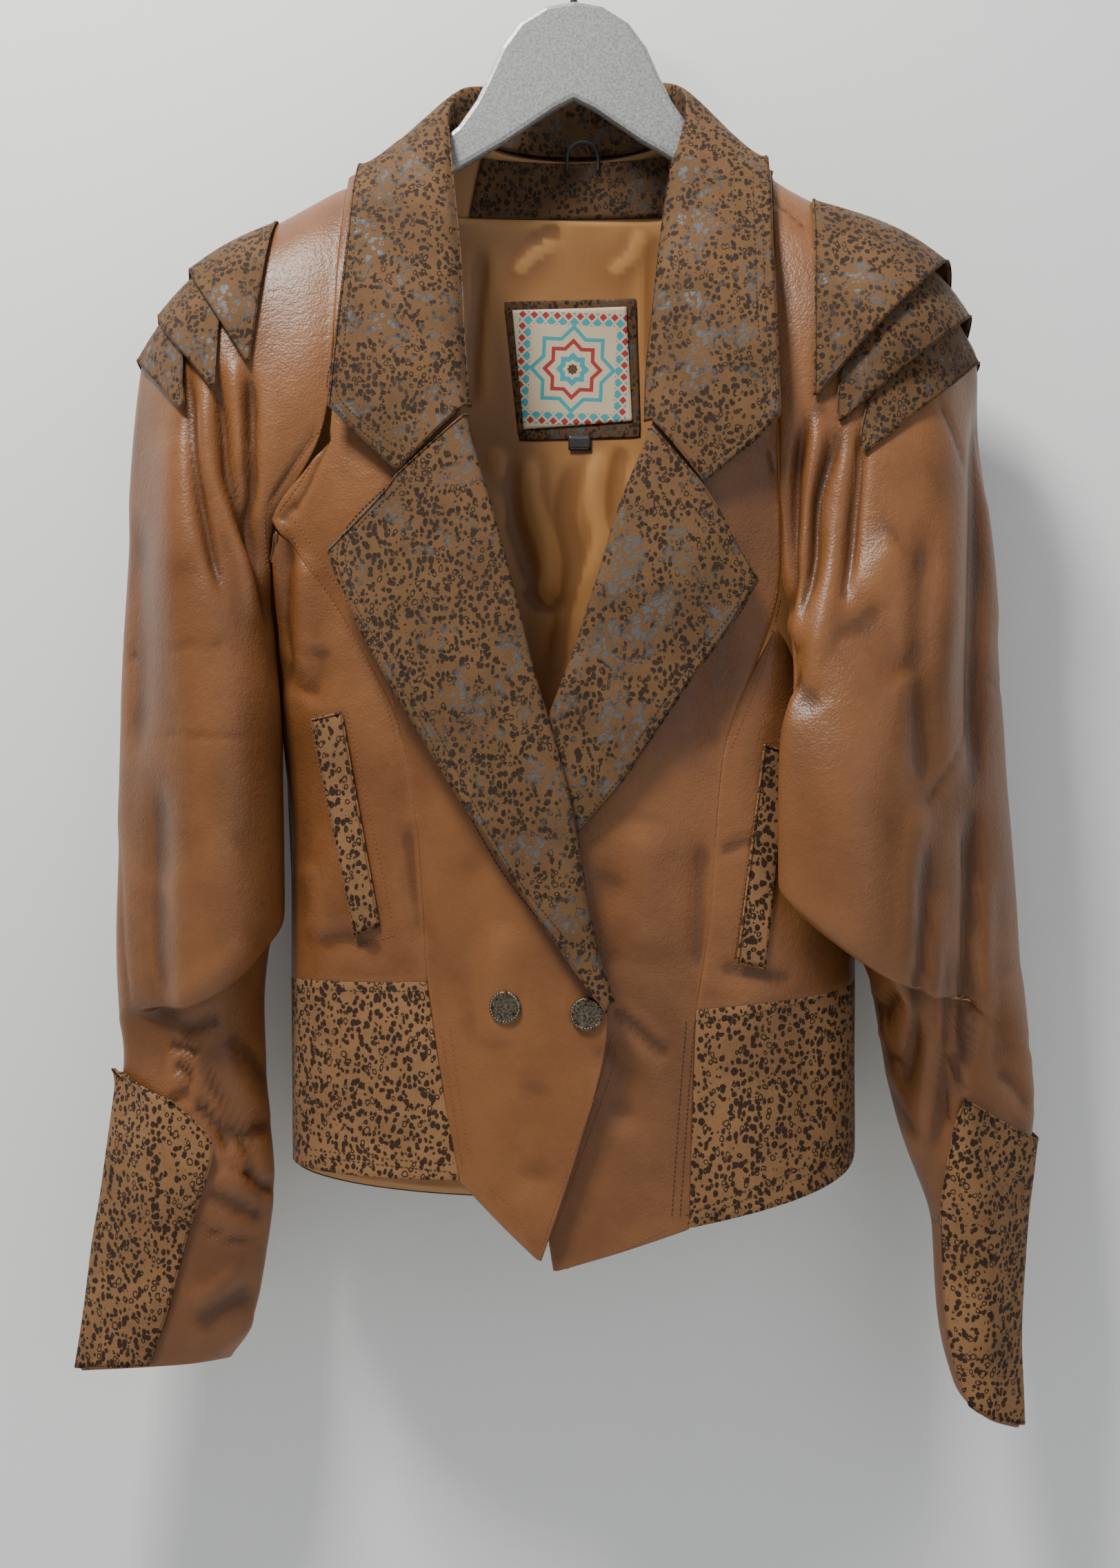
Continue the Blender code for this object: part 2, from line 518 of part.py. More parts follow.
def build_sleeve(side, front, back):
    """Sleeve as one wall: front and back halves share the ridge, the outer edge and the underarm seam."""
    rows = SLEEVE_ROWS
    front_shares = FRONT_SHARES[side]
    back_shares = BACK_SHARES
    f = pick(front, rows, front_shares)
    b = pick(back, rows, back_shares)
    open_rows = rows.index(9)
    f[:open_rows] = trim(f[:open_rows], ["first"], ARM_SEAM)
    b[:open_rows] = trim(b[:open_rows], ["first"], ARM_SEAM)
    verts = []
    lookup = {}

    def number(point):
        key = tuple(round(float(c), 3) for c in point)
        if key not in lookup:
            lookup[key] = len(verts)
            verts.append(point)
        return lookup[key]

    # The ridge row of the back takes its points from the front row, so that the halves weld
    b[0] = [f[0][int(np.argmin(np.linalg.norm(f[0] - p, axis=1)))] for p in b[0]]
    b[open_rows:, 0] = f[open_rows:, 0]
    b[:, -1] = f[:, -1]
    f_ids = [[number(p) for p in row] for row in f]
    b_ids = [[number(p) for p in row] for row in b]
    faces = []
    for i in range(len(rows) - 1):
        for j in range(len(front_shares) - 1):
            faces.append((f_ids[i][j], f_ids[i][j + 1], f_ids[i + 1][j + 1], f_ids[i + 1][j]))
        if i == 0:
            continue
        for j in range(len(back_shares) - 1):
            faces.append((b_ids[i][j + 1], b_ids[i][j], b_ids[i + 1][j], b_ids[i + 1][j + 1]))
    # Between the ridge and the first row of the back, fan the finer ridge onto the coarser row
    ridge = f_ids[0]
    low = b_ids[1]
    marks = [round(s * ACROSS) for s in front_shares]
    steps = [round(s * ACROSS) for s in back_shares]
    i = 0
    j = 0
    while i < len(ridge) - 1 or j < len(low) - 1:
        if j == len(low) - 1 or (i < len(ridge) - 1 and marks[i + 1] <= steps[j + 1]):
            faces.append((ridge[i + 1], ridge[i], low[j]))
            i += 1
        else:
            faces.append((ridge[i], low[j], low[j + 1]))
            j += 1
    shell(f"sleeve_{side}", verts, faces, "tan_leather", LEATHER, None)
    return verts, faces


def locate(grid, x, z):
    """Row and column, with their parts, of the place on a fine grid that shows at x, z in the front view."""
    flat = grid[..., [0, 2]]
    gap = np.sum((flat - (x, z)) ** 2, axis=-1)
    row, col = np.unravel_index(int(np.argmin(gap)), gap.shape)
    i = min(max(row, 1), max(grid.shape[0] - 2, 1))
    j = min(max(col, 1), grid.shape[1] - 2)
    if grid.shape[0] < 3:
        return 0.0, float(col)
    steps = np.stack([(flat[i + 1, j] - flat[i - 1, j]) / 2, (flat[i, j + 1] - flat[i, j - 1]) / 2], axis=1)
    if abs(np.linalg.det(steps)) < 0.3:
        return float(row), float(col)
    part = np.clip(np.linalg.solve(steps, np.array((x, z)) - flat[row, col]), -1, 1)
    return max(row + part[0], 0.0), min(max(col + part[1], 0.0), float(ACROSS))


def at(grid, row, col):
    """Point and outward normal of a fine grid at a place between its points."""
    row = min(max(row, 0), grid.shape[0] - 1.001)
    col = min(max(col, 0), grid.shape[1] - 1.001)
    i = int(row)
    j = int(col)
    u = row - i
    v = col - j
    p = ((grid[i, j] * (1 - v) + grid[i, j + 1] * v) * (1 - u)
         + (grid[i + 1, j] * (1 - v) + grid[i + 1, j + 1] * v) * u)
    low = max(i - 3, 0)
    high = min(i + 4, grid.shape[0] - 1)
    left = max(j - 2, 0)
    right = min(j + 3, grid.shape[1] - 1)
    normal = np.cross(grid[high, j] - grid[low, j], grid[i, right] - grid[i, left])
    return p, normal / max(np.linalg.norm(normal), 1e-9)


def flap_grid(front, back, corners):
    """Diamond flap over the ridge: rows from its back corner over the shoulder to its front corner."""
    inner, tip, corner, mid = [np.array(c, float) for c in corners]
    bend = 2 * mid - (inner + corner) / 2
    rows = []
    for k in range(-5, 6):
        share = abs(k) / 5
        side = front if k <= 0 else back
        edge_in = (1 - share) ** 2 * inner + 2 * share * (1 - share) * bend + share ** 2 * corner
        edge_out = tip + (corner - tip) * share + [np.sign(tip[0]) * 2.5 * share, 0]
        span = []
        for q in (0, 0.33, 0.67, 1):
            x, z = edge_in + (edge_out - edge_in) * q
            row, col = locate(front[:1], x, z) if k == 0 else locate(front[:80], x, z)
            p, n = at(side, row, col)
            if n[1] * (-1 if k <= 0 else 1) < 0 and k != 0:
                n = -n
            if k == 0:
                along = front[0, min(int(col) + 4, ACROSS)] - front[0, max(int(col) - 4, 0)]
                n = np.array([abs(along[2]) * np.sign(p[0]), 0, abs(along[0])]) / np.hypot(along[0], along[2])
            span.append(np.concatenate([p, n]))
        rows.append(span)
    rows = np.array(rows)
    return rows[..., :3], rows[..., 3:]


def cuff_grid(front, back, table):
    """Gauntlet round the outer side of the forearm, from its front edge to a like edge on the back."""
    rows = []
    for row_in, x, row_out in table:
        across = front[int(row_in * 8)][:, 0]
        order = np.argsort(across)
        col = float(np.interp(x, across[order], np.arange(ACROSS + 1)[order]))
        places = [(front, max(c, col + 1.2 * k)) for k, c in enumerate([col, (col + 45) / 2, 45, 50, 55, 60])]
        places += [(back, max(c, col + 1.2 * k)) for k, c in zip([4, 3, 2, 1, 0], [56, 51, 40, 30, col])]
        line = []
        for side, c in places:
            c = min(c, 60)
            row = 8 * (row_in + (row_out - row_in) * (c - col) / max(ACROSS - col, 1))
            p, n = at(side, row, c)
            middle = (side[int(row), 0] + side[int(row), -1]) / 2
            if np.dot(n, p - [middle[0], 0, p[2]]) < 0:
                n = -n
            if c > ACROSS - 0.5:
                n = np.array([np.sign(p[0]), 0, 0])
            line.append(np.concatenate([p, n]))
        rows.append(line)
    rows = np.array(rows)
    return rows[..., :3], rows[..., 3:]


# Build

for old in list(bpy.data.objects):
    bpy.data.objects.remove(old, do_unlink=True)
coat = bpy.data.collections.new(COAT)
bpy.context.scene.collection.children.link(coat)

RIGHT_OUTER = ARMHOLE_RIGHT[:5] + PRINCESS_RIGHT + HEM_SEAM_RIGHT[1:]
LEFT_OUTER = ARMHOLE_LEFT[:6] + PRINCESS_LEFT + HEM_SEAM_LEFT[1:]

BULGE_RIGHT = [0, 2, 4, 5, 5, 6, 6, 6, 5, 5, 5, 5, 5, 5, 4]
BULGE_LEFT = [0, 2, 4, 5, 4, 4, 4, 3, 3, 3, 3, 3, 3, 4]

front_right = front_centre("front_right", RIGHT_OUTER, EDGE_RIGHT, BULGE_RIGHT, [])
front_left = front_centre("front_left", LEFT_OUTER, EDGE_LEFT, BULGE_LEFT, [])
side_right = side_panel("side_front_right", ARMHOLE_RIGHT[5:] + SIDE_RIGHT, PRINCESS_RIGHT,
                        "tan_leather", ["point", "bottom"], FOLDS_BODY_RIGHT)
side_left = side_panel("side_front_left", ARMHOLE_LEFT[6:] + SIDE_LEFT, PRINCESS_LEFT,
                       "tan_leather", ["point", "bottom"], arm=5.5)
hem_right = side_panel("hem_panel_right", [(-171, 0, -650), (-170.5, 0, -706), (-170, 0, -760)],
                       HEM_SEAM_RIGHT, "spotted_suede", ["top"])
hem_left = side_panel("hem_panel_left", [(170, 0, -651), (170, 0, -705), (170, 0, -756)],
                      HEM_SEAM_LEFT, "spotted_suede", ["top"])
back_grid = build_back()

sleeve_right = sleeve_grids(SLEEVE_RIGHT, BACK_ARMHOLE_RIGHT, FOLDS_RIGHT)
sleeve_left = sleeve_grids(SLEEVE_LEFT, BACK_ARMHOLE_LEFT, FOLDS_LEFT)
built = {"right": build_sleeve("right", *sleeve_right), "left": build_sleeve("left", *sleeve_left)}

flats = {}
for side, halves in (("right", sleeve_right), ("left", sleeve_left)):
    flats[side] = [straightened(halves[0], SLEEVE_ROWS, FRONT_SHARES[side]),
                   straightened(halves[1], SLEEVE_ROWS, BACK_SHARES)]

outer_flaps = []
for side, table in (("right", FLAPS_RIGHT), ("left", FLAPS_LEFT)):
    under = [built[side]]
    for n in (2, 1, 0):
        laid, away = flap_grid(*flats[side], table[n])
        laid = lift_off(laid, away, under, AIR + 0.5)
        sheet(f"flap_{side}_{n + 1}", laid, "spotted_suede", SUEDE, None, 1)
        under.append(laid)
        under.append(grown(laid, away, SUEDE + 0.5))
    outer_flaps += under[1:]

for side, edge in (("right", CUFF_RIGHT), ("left", CUFF_LEFT)):
    laid, away = cuff_grid(*flats[side], edge)
    laid = lift_off(laid, away, [built[side]], AIR + 0.5, 5.0)
    sheet(f"cuff_panel_{side}", laid, "spotted_suede", SUEDE, None, 1)

# Pocket welts lie on the side fronts
for side, corners, under in (("right", POCKET_RIGHT, [side_right, front_right]),
                             ("left", POCKET_LEFT, [side_left, front_left])):
    a, b, c, d = [np.array((x, 0.0, z)) for x, z in corners]
    grid = between(np.linspace(a, d, 9), np.linspace(b, c, 9), [0, 0.5, 1])
    grid = laid_on(grid, tree_of(under), 0)
    grid = lift_off(grid, np.broadcast_to([0.0, -1, 0], grid.shape), under, AIR)
    sheet(f"pocket_welt_{side}", grid, "spotted_suede", SUEDE, Vector((0, -1, 0)), 1)

# Lapels turn over the front edges and lie on the fronts
body = [front_right, front_left, side_right, side_left]
LAPEL_ACROSS = [0, 0.2, 0.45, 0.72, 1]


FORWARD = np.array([0.0, -1, 0])


def lapel(name, roll, outer, inward, under):
    """Lapel from behind the front edge, round its roll, to its outer edge."""
    roll = np.asarray(roll, float)
    fall = between(roll, outer, LAPEL_ACROSS)
    fall[:, 1:-1, 1] -= 1.0
    fall = lift_off(fall, np.broadcast_to(FORWARD, fall.shape), under, AIR)
    turn = fall[:, 0] + [inward * 1.6, 2.0, 0]
    hook = fall[:, 0] + [inward * 0.6, 3.8, 0]
    grid = np.concatenate([hook[:, None], turn[:, None], fall], axis=1)
    sheet(name, grid, "spotted_suede", SUEDE, Vector((0, -1, 0)), 1)
    return fall - [0, SUEDE + 0.1, 0]


lapel_left = lapel("lapel_left", LAPEL_LEFT_ROLL, LAPEL_LEFT_OUTER, -1, [front_left, side_left])
lapel_right = lapel("lapel_right", LAPEL_RIGHT_ROLL, LAPEL_RIGHT_OUTER, 1, [*body, lapel_left])

# Collar: stand, roll and fall round the neck
roll = np.asarray(COLLAR_ROLL, float)
edge = np.asarray(COLLAR_EDGE, float)
neck = np.asarray(NECK_EDGE, float)
fall = between(roll, edge, [0.12, 0.35, 0.65, 1])
turned_out = np.cross(np.gradient(roll, axis=0), edge - roll)
turned_out /= np.linalg.norm(turned_out, axis=1, keepdims=True)
turned_out *= np.sign(np.sum(turned_out * (roll - [0, 0, -180]), axis=1, keepdims=True))
away = np.repeat(turned_out[:, None], 4, axis=1)
fall += away * np.array([1.5, 3.0, 2.0, 0])[None, :, None]
fall = lift_off(fall, away, [front_right, front_left, back_grid, *outer_flaps,
                             *built.values()], AIR)
stand = between(neck, roll, [0, 0.55])
grid = np.concatenate([stand, roll[:, None], fall], axis=1)
sheet("collar", grid, "spotted_suede", SUEDE, None, 1)

# Inside the back: facing, lining, label and loop, one on the other

def inside_patch(name, corners, rows, cols, beneath, lift, mat, thick):
    """Patch lying on the inside of the back, seen through the neck; gives back its own face."""
    a, b, c, d = [np.array((x, 0.0, z)) for x, z in corners]
    grid = between(np.linspace(a, d, rows), np.linspace(b, c, rows), np.linspace(0, 1, cols))
    tree = tree_of([beneath])
    for index in np.ndindex(grid.shape[:2]):
        x, _, z = grid[index]
        hit = tree.ray_cast(Vector((x, -10, z)), Vector((0, 1, 0)))[0]
        if hit is None:
            hit = tree.find_nearest(Vector((x, 20, z)))[0]
        grid[index][1] = hit.y
    away = np.broadcast_to(FORWARD, grid.shape)
    grid = lift_off(grid, away, [beneath], lift)
    sheet(name, grid, mat, thick, Vector((0, -1, 0)), 1)
    return grid + away * thick


inside_patch("neck_facing", FACING, 4, 9, back_grid, LEATHER + 2.4, "spotted_suede", SUEDE)
lining = inside_patch("lining_back", LINING_BACK, 13, 9, back_grid, LEATHER + 2.0, "copper_satin", LINING)
patch = inside_patch("label_patch", LABEL_PATCH, 5, 5, lining, 0.4, "spotted_suede", LABEL)
inside_patch("label", LABEL_FACE, 5, 5, patch, 0.4, "cream_label", LABEL)
inside_patch("size_tab", SIZE_TAB, 2, 3, patch, 0.4, "cream_label", LABEL)


def turned(name, profile, mat, steps, place, tilt):
    """Body turned round an axis with the Screw modifier; profile is radius, height."""
    mesh = bpy.data.meshes.new(name)
    mesh.from_pydata([(r * MM, 0, h * MM) for r, h in profile], [(k, k + 1) for k in range(len(profile) - 1)], [])
    piece = add(name, mesh, mat)
    turn = piece.modifiers.new("turn", "SCREW")
    turn.steps = steps
    turn.render_steps = steps
    turn.use_merge_vertices = True
    turn.merge_threshold = 0.00001
    turn.use_normal_calculate = True
    piece.rotation_euler = tilt
    piece.location = Vector(place) * MM
    return piece


# Press studs on the overlap
STUD_PROFILE = [(0, 0), (STUD_RADIUS, 0), (STUD_RADIUS, 1.2), (STUD_CAP, 1.6), (STUD_CAP, 2.4),
                (STUD_CAP - 1.6, 2.9), (STUD_CAP - 2.6, 2.3), (2.6, 2.7), (0, 2.9)]
top = tree_of([front_right])
for n, (x, z) in enumerate(STUDS):
    hit, normal = top.ray_cast(Vector((x, -400, z)), Vector((0, 1, 0)))[:2]
    normal = -normal if normal.y > 0 else normal
    turned(f"stud_{n + 1}", STUD_PROFILE, "aged_brass", 24, hit + normal * 1.0, normal.to_track_quat("Z", "Y").to_euler())

# Hanging loop with its tab
loop = bpy.data.curves.new("hanger_loop", "CURVE")
loop.dimensions = "3D"
loop.bevel_depth = 1.2 * MM
loop.bevel_resolution = 1
loop.resolution_u = 3
loop.use_fill_caps = True
line = loop.splines.new("NURBS")
LOOP = [(-4, 25, -156), (-5, 24, -146), (0, 23, -139), (12, 23, -139), (16, 24, -146), (15, 25, -156)]
line.points.add(len(LOOP) - 1)
for spot, p in zip(line.points, LOOP):
    spot.co = (*(Vector(p) * MM), 1)
line.order_u = 4
line.use_endpoint_u = True
loop_piece = bpy.data.objects.new("hanger_loop", loop)
loop.materials.append(material("dark_tape"))
coat.objects.link(loop_piece)

# Hanger: moulded body and wire hook
HANGER = [(0, -62), (-17, -65), (-33, -75), (-44, -90), (-51, -106), (-59, -122), (-70, -137.5), (-80, -145.5),
          (-106, -163), (-136, -181), (-172, -200), (-183, -208), (-187, -214), (-183, -221), (-168, -217),
          (-136, -201), (-104, -183), (-76, -167), (-40, -146), (-12, -127), (0, -121)]
body_curve = bpy.data.curves.new("hanger_body", "CURVE")
body_curve.dimensions = "2D"
body_curve.fill_mode = "BOTH"
body_curve.extrude = (HANGER_THICK / 2 - HANGER_ROUND) * MM
body_curve.bevel_depth = HANGER_ROUND * MM
body_curve.bevel_resolution = 1
body_curve.offset = -HANGER_ROUND * MM
outline = HANGER + [(-x, z) for x, z in reversed(HANGER[1:-1])]
rim = body_curve.splines.new("POLY")
rim.points.add(len(outline) - 1)
for spot, (x, z) in zip(rim.points, outline):
    spot.co = (x * MM, z * MM, 0, 1)
rim.use_cyclic_u = True
hanger = bpy.data.objects.new("hanger_body", body_curve)
body_curve.materials.append(material("silver_plastic"))
hanger.rotation_euler = (math.radians(90), 0, 0)
coat.objects.link(hanger)

hook_curve = bpy.data.curves.new("hanger_hook", "CURVE")
hook_curve.dimensions = "3D"
hook_curve.bevel_depth = WIRE / 2 * MM
hook_curve.bevel_resolution = 2
hook_curve.use_fill_caps = True
reach = HOOK_RADIUS + WIRE / 2
HOOK = [(0, -61.5), (0, -52), (3, -46), (12, -40)]
HOOK += [(reach * math.cos(a), -HOOK_RADIUS + reach * math.sin(a))
         for a in np.radians(np.arange(-40, 200, 20))]
wire = hook_curve.splines.new("POLY")
wire.points.add(len(HOOK) - 1)
for spot, (x, z) in zip(wire.points, HOOK):
    spot.co = (x * MM, 0, z * MM, 1)
hook = bpy.data.objects.new("hanger_hook", hook_curve)
hook_curve.materials.append(material("dark_wire"))
coat.objects.link(hook)
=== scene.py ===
# %% [markdown]
# # A worn leather coat on its hanger
# The coat is a short tan leather jacket of the late 1980s, with printed suede on its collar, lapels,
# shoulder flaps, pocket welts, hem panels and cuffs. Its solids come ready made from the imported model,
# so this file gives them their looks: thin leather with folds, seams, thread, lining, metal and paint.

import math

import bmesh
import bpy
import numpy as np
from mathutils import Matrix, Vector, noise
from mathutils.bvhtree import BVHTree


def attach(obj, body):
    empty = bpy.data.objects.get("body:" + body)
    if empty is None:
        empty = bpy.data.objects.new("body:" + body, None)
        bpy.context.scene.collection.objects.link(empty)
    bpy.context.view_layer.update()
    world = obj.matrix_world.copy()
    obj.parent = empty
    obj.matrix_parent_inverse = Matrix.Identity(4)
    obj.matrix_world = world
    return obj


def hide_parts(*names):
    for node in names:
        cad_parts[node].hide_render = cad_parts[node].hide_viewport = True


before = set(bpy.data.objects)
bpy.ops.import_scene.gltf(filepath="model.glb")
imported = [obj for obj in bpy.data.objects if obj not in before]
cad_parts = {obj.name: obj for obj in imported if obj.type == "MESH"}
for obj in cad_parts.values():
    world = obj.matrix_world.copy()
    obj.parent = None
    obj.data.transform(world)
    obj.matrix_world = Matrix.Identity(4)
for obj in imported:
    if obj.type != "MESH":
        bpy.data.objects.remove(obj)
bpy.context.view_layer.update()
MM = 0.001
print("nodes loaded:", len(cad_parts))

# %% [markdown]
# ## The camera
# A photograph is matched from its own eye point. The lens is found from the height of the picture on
# the plane of the hanger, and folds and stitches are then drawn as they look on that plane.

# %% Camera
EYE = Vector((-0.00833, -1.3, -0.534))
PICTURE_HEIGHT = 0.9475
camera_data = bpy.data.cameras.new("photo_camera")
camera_data.sensor_fit = "VERTICAL"
camera_data.sensor_height = 36
camera_data.lens = 36 * -EYE.y / PICTURE_HEIGHT
camera = bpy.data.objects.new("photo_camera", camera_data)
camera.location = EYE
camera.rotation_euler = (math.pi / 2, 0, 0)
bpy.context.scene.collection.objects.link(camera)
bpy.context.scene.camera = camera
print("lens", round(camera_data.lens, 1), "mm")


# %% [markdown]
# ## The wall, the floor and the light
# The coat hangs close to a pale wall, under a soft light from above and in front. The wall is seen
# only from its front, so that the back of the coat can be looked at too.

# %% Wall and floor
def plain_material(name, colour, roughness):
    """Material with one shader, to which detail is added."""
    material = bpy.data.materials.new(name)
    material.use_nodes = True
    shader = material.node_tree.nodes["Principled BSDF"]
    shader.inputs["Base Color"].default_value = (*colour, 1)
    shader.inputs["Roughness"].default_value = roughness
    return material, material.node_tree, shader


def big_plane(name, size, place, turn, material):
    """Plane of the studio."""
    bpy.ops.object.select_all(action="DESELECT")
    bpy.ops.mesh.primitive_plane_add(size=size, location=place, rotation=turn)
    plane = bpy.context.object
    plane.name = name
    plane.data.materials.append(material)
    return plane


wall_material, wall_tree, wall_shader = plain_material("pale_wall", (0.9, 0.92, 0.91), 0.8)
mottle = wall_tree.nodes.new("ShaderNodeTexNoise")
mottle.inputs["Scale"].default_value = 240
mottle_bump = wall_tree.nodes.new("ShaderNodeBump")
mottle_bump.inputs["Strength"].default_value = 0.12
mottle_bump.inputs["Distance"].default_value = 0.0006
wall_tree.links.new(mottle.outputs["Fac"], mottle_bump.inputs["Height"])
wall_tree.links.new(mottle_bump.outputs["Normal"], wall_shader.inputs["Normal"])
see_through = wall_tree.nodes.new("ShaderNodeBsdfTransparent")
which_side = wall_tree.nodes.new("ShaderNodeNewGeometry")
one_sided = wall_tree.nodes.new("ShaderNodeMixShader")
wall_tree.links.new(which_side.outputs["Backfacing"], one_sided.inputs["Fac"])
wall_tree.links.new(wall_shader.outputs["BSDF"], one_sided.inputs[1])
wall_tree.links.new(see_through.outputs["BSDF"], one_sided.inputs[2])
wall_tree.links.new(one_sided.outputs["Shader"], wall_tree.nodes["Material Output"].inputs["Surface"])
floor_material, _, _ = plain_material("pale_floor", (0.7, 0.7, 0.69), 0.75)
wall = big_plane("wall", 3.4, (0, 0.085, -0.5), (math.pi / 2, 0, 0), wall_material)
floor = big_plane("floor", 6, (0, 0, -1.35), (0, 0, 0), floor_material)


# %% Lights
def area_light(name, place, aim, size, power, colour=(1, 1, 1)):
    """Soft square lamp that looks at a point."""
    data = bpy.data.lights.new(name, "AREA")
    data.size = size
    data.energy = power
    data.color = colour
    lamp = bpy.data.objects.new(name, data)
    lamp.location = place
    lamp.rotation_euler = (Vector(aim) - Vector(place)).to_track_quat("-Z", "Y").to_euler()
    bpy.context.scene.collection.objects.link(lamp)
    return lamp


area_light("key", (-0.55, -0.85, 0.85), (0.03, 0, -0.5), 0.35, 37, (1, 0.98, 0.94))
area_light("fill", (0.9, -1.5, -0.3), (0, 0, -0.5), 1.2, 3.5, (0.93, 0.97, 1))
area_light("behind", (0.2, 1.6, 0.6), (0, 0, -0.5), 1.2, 16)
world = bpy.data.worlds.new("studio")
world.use_nodes = True
world.node_tree.nodes["Background"].inputs["Color"].default_value = (0.86, 0.9, 0.92, 1)
world.node_tree.nodes["Background"].inputs["Strength"].default_value = 0.38
bpy.context.scene.world = world


# %% [markdown]
# ## Shared effects
# Leather grain, the printed spots and the weave of the lining are each used by several finishes, so
# each is a node group: built once, then placed in a material with its own values.

# %% Helpers for node trees
def add_node(tree, kind, **settings):
    """Node with its settings and plain input values."""
    new = tree.nodes.new(kind)
    for key, value in settings.items():
        if key in new.inputs:
            new.inputs[key].default_value = value
        else:
            setattr(new, key, value)
    return new


def calc(tree, operation, first, second=0.0, third=None):
    """Math node on sockets or numbers; gives back its output."""
    new = tree.nodes.new("ShaderNodeMath")
    new.operation = operation
    for socket, value in zip(new.inputs, (first, second, third)):
        if value is None:
            continue
        if isinstance(value, (int, float)):
            socket.default_value = value
        else:
            tree.links.new(value, socket)
    return new.outputs[0]


def mix_colour(tree, factor, first, second, blend="MIX"):
    """Mix of two colours, given as sockets or as red, green and blue."""
    new = tree.nodes.new("ShaderNodeMix")
    new.data_type = "RGBA"
    new.blend_type = blend
    for key, value in ((0, factor), (6, first), (7, second)):
        if isinstance(value, bpy.types.NodeSocket):
            tree.links.new(value, new.inputs[key])
        else:
            new.inputs[key].default_value = value if key == 0 else (*value, 1)
    return new.outputs[2]


def ramp(tree, value, low, high):
    """0 below low, 1 above high, smooth between."""
    new = add_node(tree, "ShaderNodeMapRange", interpolation_type="SMOOTHSTEP")
    new.inputs["From Min"].default_value = low
    new.inputs["From Max"].default_value = high
    tree.links.new(value, new.inputs["Value"])
    return new.outputs["Result"]


def start_group(name, inputs, outputs):
    """Empty shader group with its sockets; each is a name, a kind and a value."""
    group = bpy.data.node_groups.new(name, "ShaderNodeTree")
    for label, kind, value in inputs:
        socket = group.interface.new_socket(label, in_out="INPUT", socket_type=kind)
        if value is not None:
            socket.default_value = value
    for label, kind in outputs:
        group.interface.new_socket(label, in_out="OUTPUT", socket_type=kind)
    return group, group.nodes.new("NodeGroupInput"), group.nodes.new("NodeGroupOutput")


FLOAT = "NodeSocketFloat"
VECTOR = "NodeSocketVector"

# %% Leather grain: pebbles of about a millimetre, finer lines and broad mottling
grain, grain_in, grain_out = start_group(
    "leather_grain",
    [("Vector", VECTOR, None), ("Pebbles", FLOAT, 720.0)],
    [("Height", FLOAT), ("Mottle", FLOAT)])
pebbles = add_node(grain, "ShaderNodeTexVoronoi", feature="SMOOTH_F1", Smoothness=0.4)
lines = add_node(grain, "ShaderNodeTexNoise", Scale=260.0, Detail=4.0, Distortion=0.6)
wrinkles = add_node(grain, "ShaderNodeTexNoise", Scale=48.0, Detail=3.0, Distortion=1.2)
broad = add_node(grain, "ShaderNodeTexNoise", Scale=11.0, Detail=5.0, Roughness=0.62)
for texture in (pebbles, lines, wrinkles, broad):
    grain.links.new(grain_in.outputs["Vector"], texture.inputs["Vector"])
grain.links.new(grain_in.outputs["Pebbles"], pebbles.inputs["Scale"])
fine = calc(grain, "MULTIPLY_ADD", pebbles.outputs["Distance"], -0.55, lines.outputs["Fac"])
height = calc(grain, "MULTIPLY_ADD", wrinkles.outputs["Fac"], 1.1, fine)
grain.links.new(height, grain_out.inputs["Height"])
grain.links.new(broad.outputs["Fac"], grain_out.inputs["Mottle"])

# %% [markdown]
# The print is a scatter of small dark spots, three to five millimetres across, pressed out of round,
# with an open ring among them here and there. Cells of a Voronoi texture give the scatter, and noise
# bends their outlines.

# %% Printed spots
spots, spots_in, spots_out = start_group(
    "printed_spots",
    [("Vector", VECTOR, None), ("Cells", FLOAT, 200.0), ("Size", FLOAT, 0.36)],
    [("Spots", FLOAT), ("Ink", FLOAT)])
bend = add_node(spots, "ShaderNodeTexNoise", Scale=95.0, Detail=2.0)
spots.links.new(spots_in.outputs["Vector"], bend.inputs["Vector"])
shift = spots.nodes.new("ShaderNodeVectorMath")
shift.operation = "MULTIPLY_ADD"
spots.links.new(bend.outputs["Color"], shift.inputs[0])
shift.inputs[1].default_value = (0.006, 0.006, 0.006)
spots.links.new(spots_in.outputs["Vector"], shift.inputs[2])
cells = add_node(spots, "ShaderNodeTexVoronoi", Randomness=0.85)
spots.links.new(shift.outputs[0], cells.inputs["Vector"])
spots.links.new(spots_in.outputs["Cells"], cells.inputs["Scale"])
chance = spots.nodes.new("ShaderNodeSeparateColor")
spots.links.new(cells.outputs["Color"], chance.inputs[0])
ragged = add_node(spots, "ShaderNodeTexNoise", Scale=620.0, Detail=2.0)
spots.links.new(spots_in.outputs["Vector"], ragged.inputs["Vector"])
rough_edge = calc(spots, "MULTIPLY_ADD", ragged.outputs["Fac"], 0.22, cells.outputs["Distance"])
rough_edge = calc(spots, "SUBTRACT", rough_edge, 0.11)
reach = calc(spots, "MULTIPLY_ADD", chance.outputs[0], 0.14, spots_in.outputs["Size"])
inside = calc(spots, "SUBTRACT", reach, rough_edge)
filled = ramp(spots, inside, 0.0, 0.06)
ring_only = calc(spots, "GREATER_THAN", chance.outputs[1], 0.74)
hole = calc(spots, "MULTIPLY", ramp(spots, inside, 0.2, 0.26), ring_only)
mask = calc(spots, "SUBTRACT", filled, hole)
spots.links.new(mask, spots_out.inputs["Spots"])
spots.links.new(chance.outputs[2], spots_out.inputs["Ink"])

